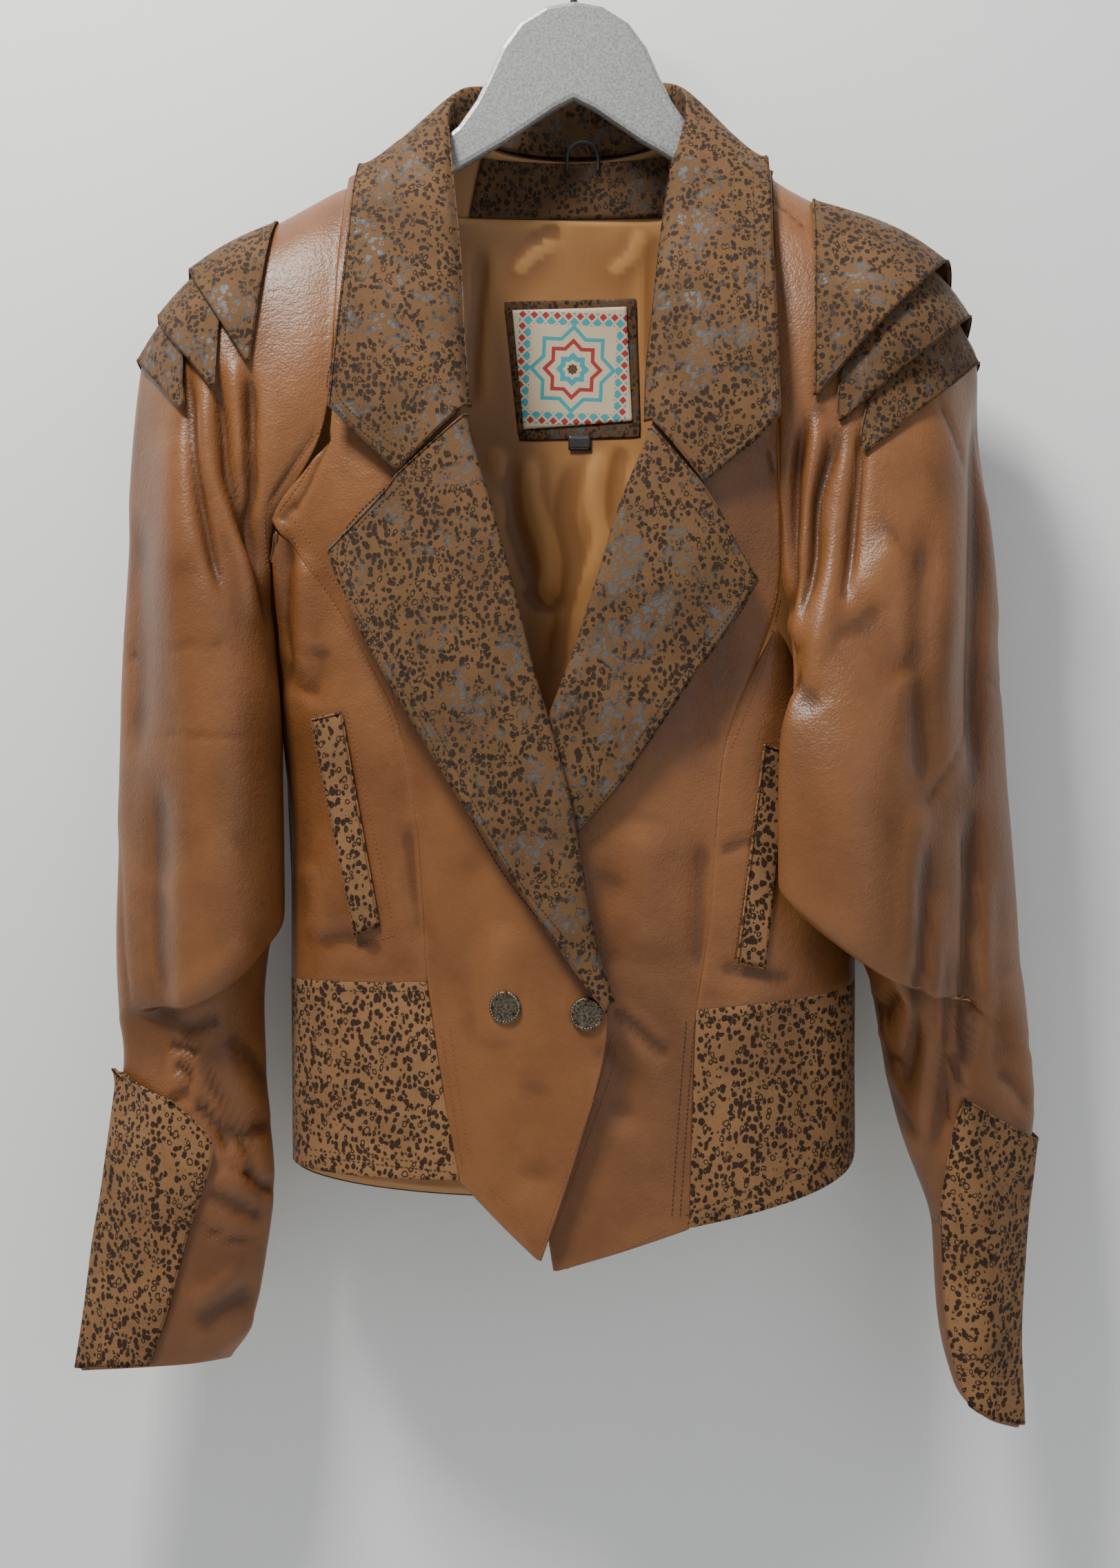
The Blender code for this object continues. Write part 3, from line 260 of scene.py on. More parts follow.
# %% Fine weave of the lining
weave, weave_in, weave_out = start_group("satin_weave", [("Vector", VECTOR, None)], [("Height", FLOAT)])
threads = add_node(weave, "ShaderNodeTexWave", bands_direction="X", Scale=420.0, Distortion=0.6)
slubs = add_node(weave, "ShaderNodeTexNoise", Scale=130.0, Detail=3.0)
weave.links.new(weave_in.outputs["Vector"], threads.inputs["Vector"])
weave.links.new(weave_in.outputs["Vector"], slubs.inputs["Vector"])
weave.links.new(calc(weave, "MULTIPLY_ADD", threads.outputs["Fac"], 0.35, slubs.outputs["Fac"]),
                weave_out.inputs["Height"])
print("groups:", [g.name for g in bpy.data.node_groups])


# %% [markdown]
# ## Finishes
# Leather is painted lighter where it stands proud, a painted highlight, and darker down in its folds and seams, a
# painted shade.
# Each sheet carries how proud or sunken it is as a number on its points, called fold, which its finish reads.

# %% Common start of a finish
def finish(name, roughness, bump):
    """Material with object coordinates and a bump; gives back the parts that recipes join up."""
    material, tree, shader = plain_material(name, (0.5, 0.5, 0.5), roughness)
    place = tree.nodes.new("ShaderNodeTexCoord")
    relief = add_node(tree, "ShaderNodeBump", Strength=bump, Distance=0.0006)
    tree.links.new(relief.outputs["Normal"], shader.inputs["Normal"])
    return material, tree, shader, place.outputs["Object"], relief


def use_group(tree, group, vector, **values):
    """Group placed in a material, with its coordinates and values."""
    new = tree.nodes.new("ShaderNodeGroup")
    new.node_tree = group
    tree.links.new(vector, new.inputs["Vector"])
    for key, value in values.items():
        new.inputs[key].default_value = value
    return new


def fold_number(tree):
    """How proud (above 0) or sunken (below 0) the sheet is."""
    return add_node(tree, "ShaderNodeAttribute", attribute_name="fold").outputs["Fac"]


# %% Tan leather
def leather(name, lit, deep, roughness=0.4, bump=0.5):
    """Smooth-grained hide, with a painted highlight on its ridges and painted shade in its folds."""
    material, tree, shader, place, relief = finish(name, roughness, bump)
    skin = use_group(tree, grain, place)
    tone_and_painted_light = mix_colour(tree, ramp(tree, skin.outputs["Mottle"], 0.3, 0.72), deep, lit)
    fold = fold_number(tree)
    # painted highlight: proud points are mixed towards a lighter tan
    tone_and_painted_light = mix_colour(tree, calc(tree, "MULTIPLY", ramp(tree, fold, 0.1, 1.0), 0.2), tone_and_painted_light,
                      tuple(min(1, c * 1.35 + 0.02) for c in lit))
    # painted shade: sunken points are mixed towards a very dark brown
    tone_and_painted_light = mix_colour(tree, calc(tree, "MULTIPLY", ramp(tree, calc(tree, "MULTIPLY", fold, -1.0), 0.05, 1.0), 0.5),
                      tone_and_painted_light, tuple(c * 0.3 for c in deep))
    tree.links.new(tone_and_painted_light, shader.inputs["Base Color"])
    shine = calc(tree, "MULTIPLY_ADD", skin.outputs["Mottle"], 0.22, roughness - 0.11)
    tree.links.new(shine, shader.inputs["Roughness"])
    tree.links.new(skin.outputs["Height"], relief.inputs["Height"])
    shader.inputs["Specular IOR Level"].default_value = 0.42
    return material


TAN_LIT = (0.232, 0.091, 0.029)
TAN_DEEP = (0.14, 0.051, 0.016)
tan = leather("tan_leather", TAN_LIT, TAN_DEEP)
cut_edge, *_ = plain_material("cut_leather_edge", (0.085, 0.035, 0.015), 0.8)


# %% Spotted suede
def suede(name, ground, dark, cells, size, painted_grey_sheen):
    """Napped hide printed with spots; the last argument is how much of the print gets a painted grey reflection in
    its colour, besides a lower roughness.
    """
    material, tree, shader, place, relief = finish(name, 0.85, 0.35)
    flatter = add_node(tree, "ShaderNodeMapping", Scale=(1.0, 0.55, 0.8))
    tree.links.new(place, flatter.inputs["Vector"])
    printed = use_group(tree, spots, flatter.outputs["Vector"], Cells=cells, Size=size)
    nap = add_node(tree, "ShaderNodeTexNoise", Scale=900.0, Detail=3.0)
    cloud = add_node(tree, "ShaderNodeTexNoise", Scale=22.0, Detail=4.0, Roughness=0.6)
    sheen_noise = add_node(tree, "ShaderNodeTexNoise", Scale=34.0, Detail=3.0, Roughness=0.7)
    for texture in (nap, cloud, sheen_noise):
        tree.links.new(place, texture.inputs["Vector"])
    base = mix_colour(tree, ramp(tree, cloud.outputs["Fac"], 0.3, 0.7), tuple(c * 0.66 for c in ground), ground)
    base = mix_colour(tree, calc(tree, "MULTIPLY", ramp(tree, nap.outputs["Fac"], 0.45, 0.75), 0.25), base,
                      tuple(c * 1.5 for c in ground))
    ink_and_painted_sheen = mix_colour(tree, printed.outputs["Ink"], dark, tuple(c * 1.8 for c in dark))
    # painted reflection: in patches the dark ink is mixed towards a cool grey, where the spots also get lower
    # roughness
    sheen_patches = calc(tree, "MULTIPLY", ramp(tree, sheen_noise.outputs["Fac"], 0.5, 0.62), painted_grey_sheen)
    ink_and_painted_sheen = mix_colour(tree, sheen_patches, ink_and_painted_sheen, (0.11, 0.113, 0.118))
    colour = mix_colour(tree, calc(tree, "MULTIPLY", printed.outputs["Spots"], 0.93), base, ink_and_painted_sheen)
    fold = fold_number(tree)
    # painted shade: sunken points are mixed towards a very dark brown
    colour = mix_colour(tree, calc(tree, "MULTIPLY", ramp(tree, calc(tree, "MULTIPLY", fold, -1.0), 0.05, 1.0), 0.5),
                        colour, tuple(c * 0.3 for c in dark))
    tree.links.new(colour, shader.inputs["Base Color"])
    gloss = calc(tree, "MULTIPLY", printed.outputs["Spots"], calc(tree, "MULTIPLY_ADD", sheen_patches, 0.42, 0.06))
    tree.links.new(calc(tree, "SUBTRACT", 0.86, gloss), shader.inputs["Roughness"])
    tree.links.new(calc(tree, "MULTIPLY_ADD", printed.outputs["Spots"], -0.5, nap.outputs["Fac"]),
                   relief.inputs["Height"])
    shader.inputs["Sheen Weight"].default_value = 0.03
    shader.inputs["Sheen Roughness"].default_value = 0.5
    shader.inputs["Specular IOR Level"].default_value = 0.28
    return material


DARK_INK = (0.012, 0.005, 0.003)
# the last value is the painted grey reflection on the print: none on the hem, more on the collar and the facing
hem_suede = suede("hem_suede", (0.27, 0.136, 0.058), DARK_INK, 300, 0.42, 0.0)
collar_suede = suede("collar_suede", (0.155, 0.078, 0.032), (0.014, 0.008, 0.005), 320, 0.42, 0.75)
inner_suede = suede("facing_suede", (0.12, 0.06, 0.026), (0.014, 0.008, 0.005), 320, 0.42, 0.6)


# %% Copper satin lining
def satin(name, lit, deep):
    """Smooth copper-coloured lining, with a painted highlight on its ridges and painted shade in its folds."""
    material, tree, shader, place, relief = finish(name, 0.34, 0.16)
    cloth = use_group(tree, weave, place)
    fold = fold_number(tree)
    # painted highlight and painted shade: the colour runs from the deep copper in the folds to the lit copper on the
    # ridges
    colour = mix_colour(tree, ramp(tree, fold, -0.6, 0.7), deep, lit)
    tree.links.new(colour, shader.inputs["Base Color"])
    tree.links.new(calc(tree, "MULTIPLY_ADD", cloth.outputs["Height"], 0.12, 0.3), shader.inputs["Roughness"])
    tree.links.new(cloth.outputs["Height"], relief.inputs["Height"])
    shader.inputs["Anisotropic"].default_value = 0.35
    shader.inputs["Sheen Weight"].default_value = 0.25
    return material


# one satin in two copies: the lit copper is painted highlight, the deep copper painted shade
lining = satin("copper_satin", (0.46, 0.225, 0.07), (0.27, 0.115, 0.032))


# %% Metal, paint and thread
def metal(name, bright, dark, roughness, scale, spread):
    """Metal or paint with dark specks and uneven shine."""
    material, tree, shader, place, relief = finish(name, roughness, 0.12)
    specks = add_node(tree, "ShaderNodeTexNoise", Scale=scale, Detail=5.0, Roughness=0.7)
    tree.links.new(place, specks.inputs["Vector"])
    colour = mix_colour(tree, ramp(tree, specks.outputs["Fac"], 0.5 - spread, 0.5 + spread), dark, bright)
    tree.links.new(colour, shader.inputs["Base Color"])
    tree.links.new(calc(tree, "MULTIPLY_ADD", specks.outputs["Fac"], -0.3, roughness + 0.15),
                   shader.inputs["Roughness"])
    tree.links.new(specks.outputs["Fac"], relief.inputs["Height"])
    return material, shader


brass, brass_shader = metal("aged_brass", (0.33, 0.27, 0.2), (0.05, 0.035, 0.022), 0.36, 700.0, 0.16)
brass_shader.inputs["Metallic"].default_value = 1.0
hanger_paint, hanger_shader = metal("silver_grey_paint", (0.5, 0.5, 0.5), (0.2, 0.2, 0.2), 0.36, 640.0, 0.25)
hanger_shader.inputs["Metallic"].default_value = 0.35
wire, wire_shader = metal("dark_wire", (0.07, 0.07, 0.075), (0.03, 0.03, 0.03), 0.35, 300.0, 0.2)
wire_shader.inputs["Metallic"].default_value = 0.8
tan_thread, _ = metal("tan_thread", (0.3, 0.12, 0.045), (0.17, 0.065, 0.025), 0.6, 1500.0, 0.15)
dark_thread, _ = metal("dark_thread", (0.055, 0.028, 0.016), (0.02, 0.012, 0.008), 0.6, 1500.0, 0.15)
tape, _ = metal("dark_tape", (0.03, 0.026, 0.024), (0.012, 0.01, 0.01), 0.5, 900.0, 0.2)
print("finishes:", len(bpy.data.materials))


# %% [markdown]
# ## The neck label
# The real one is woven in cream, turquoise and red. This one keeps those colours and their scale in a
# plain pattern of its own: a border of small diamonds round a many-pointed star.

# %% Label design
LABEL_MIDDLE = (-0.0005, -0.274)
LABEL_TURN = 0.04


def label_finish():
    """Woven label in cream, turquoise and red, drawn on the label's own middle."""
    material, tree, shader, place, relief = finish("woven_label", 0.7, 0.3)
    centre = add_node(tree, "ShaderNodeMapping", vector_type="TEXTURE")
    centre.inputs["Location"].default_value = (LABEL_MIDDLE[0], 0, LABEL_MIDDLE[1])
    centre.inputs["Rotation"].default_value = (0, LABEL_TURN, 0)
    tree.links.new(place, centre.inputs["Vector"])
    parts = tree.nodes.new("ShaderNodeSeparateXYZ")
    tree.links.new(centre.outputs["Vector"], parts.inputs[0])
    across, up = parts.outputs[0], parts.outputs[2]
    side, rise = calc(tree, "ABSOLUTE", across), calc(tree, "ABSOLUTE", up)
    to_edge = calc(tree, "MAXIMUM", side, rise)
    band = calc(tree, "MULTIPLY", ramp(tree, to_edge, 0.0268, 0.0271), calc(tree, "LESS_THAN", to_edge, 0.0345))
    pitch = 0.0072
    columns = calc(tree, "PINGPONG", calc(tree, "ADD", across, pitch * 20), pitch / 2)
    rows = calc(tree, "PINGPONG", calc(tree, "ADD", up, pitch * 20), pitch / 2)
    diamond = calc(tree, "LESS_THAN", calc(tree, "ADD", columns, rows), pitch * 0.42)
    other = calc(tree, "GREATER_THAN", calc(tree, "ADD", columns, rows), pitch * 0.66)
    star = calc(tree, "MINIMUM", to_edge, calc(tree, "MULTIPLY", calc(tree, "ADD", side, rise), 0.7071))
    cream, red, blue = (0.62, 0.5, 0.34), (0.36, 0.03, 0.03), (0.05, 0.33, 0.38)
    colour = mix_colour(tree, calc(tree, "MULTIPLY", band, diamond), cream, blue)
    colour = mix_colour(tree, calc(tree, "MULTIPLY", band, other), colour, red)
    for size, paint in ((0.0195, blue), (0.0172, cream), (0.0135, red), (0.0112, cream), (0.0075, blue),
                        (0.0045, cream), (0.0025, (0.1, 0.05, 0.02))):
        colour = mix_colour(tree, calc(tree, "LESS_THAN", star, size), colour, paint)
    cloth = use_group(tree, weave, place)
    tree.links.new(colour, shader.inputs["Base Color"])
    tree.links.new(cloth.outputs["Height"], relief.inputs["Height"])
    return material


label_material = label_finish()


# %% [markdown]
# ## From solid wall to soft sheet
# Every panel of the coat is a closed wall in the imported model. Its outer side is taken, its triangles
# are joined to squares and made fine by subdivision, folds are pressed in, its edge is rolled over the
# seam, and Solidify gives it the thickness of leather with a lining behind.

# %% Pick the outer side of a wall
def outer_side(node, outward, least=-1.0):
    """Outer side of a CAD wall as a bmesh. Outward is a direction, or None for a tube, whose middle decides.
    Two faces belong together where their normals agree by least or more."""
    bm = bmesh.new()
    bm.from_mesh(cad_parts[node].data)
    bmesh.ops.remove_doubles(bm, verts=bm.verts, dist=0.00002)
    bm.faces.ensure_lookup_table()
    tree = BVHTree.FromBMesh(bm)
    walls = set()
    for face in bm.faces:
        middle = face.calc_center_median()
        _, across, _, far = tree.ray_cast(middle - face.normal * 0.0001, -face.normal, 0.0036)
        if far is not None and across.dot(face.normal) < -0.5:
            walls.add(face)
    sides = []
    left = set(walls)
    while left:
        group = {left.pop()}
        front = list(group)
        while front:
            here = front.pop()
            for edge in here.edges:
                for near in edge.link_faces:
                    if near in left and near.normal.dot(here.normal) > least:
                        left.remove(near)
                        group.add(near)
                        front.append(near)
        sides.append(group)
    sides.sort(key=lambda s: -sum(f.calc_area() for f in s))
    points = np.array([v.co for v in bm.verts])

    def outwardness(face):
        middle = face.calc_center_median()
        if outward is not None:
            return face.normal.dot(outward) * face.calc_area()
        near = points[np.abs(points[:, 2] - middle.z) < 0.03]
        away = middle - Vector((near[:, 0].mean(), near[:, 1].mean(), middle.z))
        return face.normal.dot(away) * face.calc_area()

    best = max(sides[:2], key=lambda s: sum(outwardness(f) for f in s))
    others = set().union(*[s for s in sides[:2] if s is not best])
    grew = True
    while grew:
        more = [f for f in bm.faces if f not in best and f not in others
                and sum(any(n in best and n.normal.dot(f.normal) > 0.2 for n in e.link_faces) for e in f.edges) >= 2]
        best.update(more)
        grew = bool(more)
    bmesh.ops.delete(bm, geom=[f for f in bm.faces if f not in best], context="FACES")
    bmesh.ops.join_triangles(bm, faces=bm.faces[:], angle_face_threshold=3.1, angle_shape_threshold=3.1)
    return bm


# %% Points as numbers
def coordinates(mesh):
    """All points of a mesh."""
    out = np.empty(len(mesh.vertices) * 3)
    mesh.vertices.foreach_get("co", out)
    return out.reshape(-1, 3)


def normals(mesh):
    """Directions of a mesh's points."""
    out = np.empty(len(mesh.vertices) * 3)
    mesh.vertex_normals.foreach_get("vector", out)
    return out.reshape(-1, 3)


def edge_pairs(mesh):
    """Edges as pairs of points, and which points lie on the rim."""
    pairs = np.empty(len(mesh.edges) * 2, int)
    mesh.edges.foreach_get("vertices", pairs)
    pairs = pairs.reshape(-1, 2)
    loops = np.empty(len(mesh.loops), int)
    mesh.loops.foreach_get("edge_index", loops)
    rim_edges = np.bincount(loops, minlength=len(pairs)) == 1
    rim = np.zeros(len(mesh.vertices), bool)
    rim[pairs[rim_edges].ravel()] = True
    return pairs, rim


def relax(points, pairs, keep, rounds, amount=0.5):
    """Points drawn towards the middle of their neighbours, except those that keep still."""
    count = np.bincount(pairs.ravel(), minlength=len(points))[:, None]
    out = points.copy()
    for _ in range(rounds):
        total = np.zeros_like(out)
        np.add.at(total, pairs[:, 0], out[pairs[:, 1]])
        np.add.at(total, pairs[:, 1], out[pairs[:, 0]])
        moved = out + (total / np.maximum(count, 1) - out) * amount
        out = np.where(keep[:, None], out, moved)
    return out


def seen(points):
    """Where points appear on the plane of the hook from the camera, in mm."""
    points = np.asarray(points, float)
    grow = -EYE.y / (points[:, 1] - EYE.y)
    return np.stack([EYE.x + (points[:, 0] - EYE.x) * grow, EYE.z + (points[:, 2] - EYE.z) * grow], axis=1) / MM


# %% [markdown]
# Folds are drawn as lines on the picture's plane: each has its points, half its width and its height
# in mm, below 0 for a valley and above 0 for a ridge. Both ends fade out.

# %% Press folds into a sheet
FOLD_DEPTH = 1.35


def rounded(line, steps=6):
    """Smooth curve through the points of a line."""
    p = np.asarray(line, float)
    p = np.concatenate([[2 * p[0] - p[1]], p, [2 * p[-1] - p[-2]]])
    out = []
    for a, b, c, d in zip(p[:-3], p[1:-2], p[2:-1], p[3:]):
        for t in np.arange(steps) / steps:
            out.append(0.5 * (2 * b + (c - a) * t + (2 * a - 5 * b + 4 * c - d) * t**2
                              + (3 * b - a - 3 * c + d) * t**3))
    out.append(p[-2])
    return np.array(out)


def near_line(line, flat):
    """Each point's distance from a line, and how far along the line it lies, from 0 to 1."""
    line = rounded(line)
    lengths = np.linalg.norm(np.diff(line, axis=0), axis=1)
    starts = np.concatenate([[0], np.cumsum(lengths)])
    nearest = np.full(len(flat), 1e9)
    along = np.zeros(len(flat))
    for a, b, length, start in zip(line[:-1], line[1:], lengths, starts):
        t = np.clip(((flat - a) @ (b - a)) / max(length**2, 1e-9), 0, 1)
        gap = np.linalg.norm(flat - (a + t[:, None] * (b - a)), axis=1)
        closer = gap < nearest
        nearest[closer] = gap[closer]
        along[closer] = (start + t[closer] * length) / starts[-1]
    return nearest, along


def folds_on(flat, folds):
    """Height of all folds at points of the picture's plane, in mm."""
    total = np.zeros(len(flat))
    for line, half, rise in folds:
        rise = rise * FOLD_DEPTH
        gap, along = near_line(line, flat)
        fade = np.clip(np.minimum(along, 1 - along) * 4.5, 0, 1)
        fade = fade * fade * (3 - 2 * fade)
        total += rise * fade * np.exp(-(gap / half) ** 2)
    return total


def wander(points, size, rise, seed):
    """Slow uneven swell over a sheet, longer upwards than across."""
    return np.array([noise.noise(Vector((x / size + seed, y / size, z / (1.7 * size)))) for x, y, z in points]) * rise


# %% Make one sheet
made = {}


def sheet(node, outward, face, behind=None, folds=(), back_folds=(), thick=1.2, levels=3, reach=0.9,
          swell=0.5, smooth=6, teeth=False, least=-1.0, corners=False):
    """Soft sheet that stands for one CAD wall."""
    bm = outer_side(node, outward, least)
    mesh = bpy.data.meshes.new(node + "_sheet")
    bm.to_mesh(mesh)
    bm.free()
    piece = bpy.data.objects.new(node + "_sheet", mesh)
    bpy.context.scene.collection.objects.link(piece)
    bpy.ops.object.select_all(action="DESELECT")
    bpy.context.view_layer.objects.active = piece
    piece.select_set(True)
    if corners:
        keep_corners(mesh)
    finer = piece.modifiers.new("finer", "SUBSURF")
    finer.levels = levels
    finer.render_levels = levels
    finer.boundary_smooth = "PRESERVE_CORNERS"
    bpy.ops.object.modifier_apply(modifier=finer.name)
    pairs, rim = edge_pairs(mesh)
    points = relax(coordinates(mesh), pairs, rim, smooth)
    mesh.vertices.foreach_set("co", points.ravel())
    mesh.update()
    facing = normals(mesh)
    front = np.clip((0.35 - facing[:, 1]) / 0.5, 0, 1)
    rise = folds_on(seen(points), folds) * front if folds else np.zeros(len(points))
    if back_folds:
        rise += folds_on(points[:, [0, 2]] / MM, back_folds) * np.clip(facing[:, 1] / 0.4, 0, 1)
    rise += wander(points, 0.03, swell, len(made)) * np.where(rim, 0, 1)
    points = points + facing * (rise * MM)[:, None]
    mesh.vertices.foreach_set("co", points.ravel())
    mesh.update()
    roll_edge(mesh, pairs, rim, reach * MM, teeth)
    mark_folds(mesh)
    mesh.materials.append(face)
    mesh.materials.append(behind or face)
    mesh.materials.append(cut_edge)
    mesh.shade_smooth()
    wall_of = piece.modifiers.new("thickness", "SOLIDIFY")
    wall_of.thickness = thick * MM
    wall_of.offset = -1
    wall_of.material_offset = 1
    wall_of.material_offset_rim = 2
    bpy.ops.object.modifier_apply(modifier=wall_of.name)
    mesh.shade_smooth()
    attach(piece, "root")
    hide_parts(node)
    made[node] = piece
    print(f"{node}: {len(mesh.polygons)} faces, {sum(p.area for p in mesh.polygons) / 2:.4f} m2")
    return piece


def roll_edge(mesh, pairs, rim, reach, teeth):
    """Edge carried on over the seam, and turned down; with teeth only its first row is made, for a pinked edge."""
    bm = bmesh.new()
    bm.from_mesh(mesh)
    for out, down in ((reach * 0.6, 0.00025), (reach * 0.4, 0.0008)):
        edges = [e for e in bm.edges if len(e.link_faces) == 1]
        bm.normal_update()
        ways = {}
        for vert in {v for e in edges for v in e.verts}:
            middle = sum((f.calc_center_median() for f in vert.link_faces), Vector()) / len(vert.link_faces)
            normal = vert.normal
            ends = [e.other_vert(vert).co for e in vert.link_edges if len(e.link_faces) == 1]
            tangent = (ends[0] - ends[-1]).normalized() if len(ends) > 1 else Vector()
            way = vert.co - middle
            way -= normal * way.dot(normal) + tangent * way.dot(tangent) * 0.9
            ways[vert] = (way.normalized() * out - normal * down, vert.co.copy())
        fresh = bmesh.ops.extrude_edge_only(bm, edges=edges)["geom"]
        for vert in [g for g in fresh if isinstance(g, bmesh.types.BMVert)]:
            partner = next((e.other_vert(vert) for e in vert.link_edges if e.other_vert(vert) in ways), None)
            if partner is not None:
                vert.co = ways[partner][1] + ways[partner][0]
        if teeth:
            break
    bm.to_mesh(mesh)
    bm.free()


def keep_corners(mesh):
    """Crease the points where the rim turns a corner, so that subdivision keeps them sharp."""
    pairs, rim = edge_pairs(mesh)
    points = coordinates(mesh)
    ends = {}
    loops = np.empty(len(mesh.loops), int)
    mesh.loops.foreach_get("edge_index", loops)
    for a, b in pairs[np.bincount(loops, minlength=len(pairs)) == 1]:
        ends.setdefault(a, []).append(b)
        ends.setdefault(b, []).append(a)
    sharp = np.zeros(len(points), np.float32)
    for here, near in ends.items():
        if len(near) == 2:
            first, second = (Vector(points[n] - points[here]) for n in near)
            sharp[here] = 1.0 if first.angle(-second, 0) > math.radians(32) else 0.0
    mesh.attributes.new("crease_vert", "FLOAT", "POINT").data.foreach_set("value", sharp)


def mark_folds(mesh):
    """Number on each point: above 0 where it stands proud, below 0 where it is sunken."""
    pairs, rim = edge_pairs(mesh)
    points = coordinates(mesh)
    calm = relax(points, pairs, np.zeros(len(points), bool), 14)
    proud = np.sum((points - calm) * normals(mesh), axis=1) / 0.0005
    layer = mesh.attributes.new("fold", "FLOAT", "POINT")
    layer.data.foreach_set("value", np.clip(proud, -1, 1).astype(np.float32))


FRONT = Vector((0, -1, 0))
BACK = Vector((0, 1, 0))

# %% [markdown]
# ## The folds, one table for each part
# The pleats under the shoulder flaps run down into the sleeve. The elbow falls forward as a bag with
# crumpled leather under it.

# %% Fold tables
CREASES_RIGHT_SLEEVE = [
    ([(-235, -272), (-232, -302), (-230, -329), (-226, -360), (-221, -385), (-216, -406),
      (-211, -427)], 4, -3.5),
    ([(-215, -273), (-214, -298), (-211, -323), (-209, -348), (-204, -364), (-198, -383), (-192, -398),
      (-186, -423), (-182, -448)], 4, -4.5),
    ([(-196, -279), (-195, -302), (-195, -329), (-194, -354), (-195, -373), (-192, -389),
      (-187, -410)], 4, -4.5),
    ([(-225, -283), (-223, -312), (-220, -344), (-211, -369), (-201, -394), (-194, -423),
      (-189, -448)], 7, 2.5),
    ([(-205, -273), (-204, -302), (-202, -327), (-201, -350)], 6, 2.5),
    ([(-242, -314), (-240, -344), (-236, -377), (-230, -406)], 12, 1.5),
    ([(-264, -360), (-265, -419), (-264, -458), (-265, -527)], 8, -2.5),
    ([(-252, -519), (-252, -574), (-252, -630), (-249, -657), (-242, -685)], 8, -2.5),
    ([(-262, -449), (-236, -450), (-197, -448)], 2, -0.5),
    ([(-257, -506), (-230, -504), (-192, -507)], 2, -0.5),
    ([(-249, -610), (-226, -588), (-198, -574)], 16, 1.2),
    ([(-245, -674), (-217, -649), (-187, -630)], 12, 1.5),
    ([(-246, -692), (-236, -693), (-226, -698)], 3, -3),
    ([(-242, -702), (-236, -707), (-230, -714)], 3, -3),
    ([(-247, -727), (-240, -724), (-231, -717)], 3, -2.5),
    ([(-240, -685), (-226, -680), (-212, -674)], 5, -2),
    ([(-230, -724), (-217, -738), (-211, -745), (-209, -757)], 4, -3.5),
    ([(-226, -707), (-212, -730), (-198, -755), (-187, -769)], 3, -1.6),
    ([(-211, -744), (-198, -746), (-184, -738)], 4, -2),
    ([(-198, -763), (-190, -776), (-177, -778)], 4, -3.5),
    ([(-217, -696), (-198, -719), (-184, -741)], 6, 1.8),
    ([(-209, -685), (-192, -702), (-183, -719)], 4, -1.2),
    ([(-217, -769), (-201, -777), (-187, -782)], 6, 1.8),
    ([(-223, -777), (-206, -789), (-184, -796)], 5, -1.4),
    ([(-229, -866), (-212, -852), (-192, -838)], 7, -1.6),
    ([(-234, -849), (-217, -838), (-198, -827)], 6, 1.3),
    ([(-217, -877), (-201, -866), (-190, -855)], 5, 1.2),
]
CREASES_LEFT_SLEEVE = [
    ([(142, -299), (135, -347), (133, -386), (131, -412), (125, -438), (121, -456)], 4, -4.5),
    ([(160, -314), (156, -334), (148, -362), (146, -399), (139, -425), (133, -440)], 4, -4),
    ([(174, -310), (173, -334), (169, -373), (166, -407), (161, -427)], 3.5, -3.5),
    ([(151, -305), (144, -347), (139, -386), (136, -414)], 6, 2.5),
    ([(168, -315), (161, -360), (155, -412), (146, -451), (135, -477)], 7, 2.5),
    ([(133, -440), (135, -472), (148, -493)], 10, -2),
    ([(200, -391), (182, -404), (172, -422)], 12, 1.6),
    ([(169, -425), (185, -446), (205, -472)], 16, -2),
    ([(216, -362), (211, -399), (209, -451), (211, -550)], 9, -2.2),
    ([(226, -352), (226, -399), (224, -477), (224, -550)], 10, 1.8),
    ([(247, -279), (245, -347), (243, -425), (242, -550)], 5, -4),
    ([(254, -347), (255, -399), (257, -451)], 8, 1.2),
    ([(241, -539), (240, -623), (237, -695), (233, -720)], 5, -4),
    ([(246, -581), (247, -651), (247, -712)], 6, 1.8),
    ([(208, -539), (206, -595), (204, -631), (199, -659)], 9, 2.2),
    ([(213, -556), (210, -609), (208, -673), (198, -728)], 6, -2.5),
    ([(228, -623), (226, -673), (221, -717), (219, -762)], 7, -2),
    ([(220, -595), (218, -656), (213, -717), (210, -762)], 7, 1.8),
    ([(176, -664), (187, -670), (198, -661)], 3.5, -3),
    ([(177, -680), (187, -675), (194, -673)], 3, -2.5),
    ([(178, -689), (187, -695), (195, -706)], 5, -1.5),
    ([(184, -712), (195, -728), (209, -751)], 4, -1.3),
    ([(228, -695), (232, -709), (234, -721)], 3, -2.5),
    ([(223, -717), (224, -731), (226, -742)], 3, -1.5),
    ([(259, -645), (263, -667), (267, -695)], 12, 1.2),
    ([(253, -706), (267, -717), (278, -734)], 5, -1.2),
]
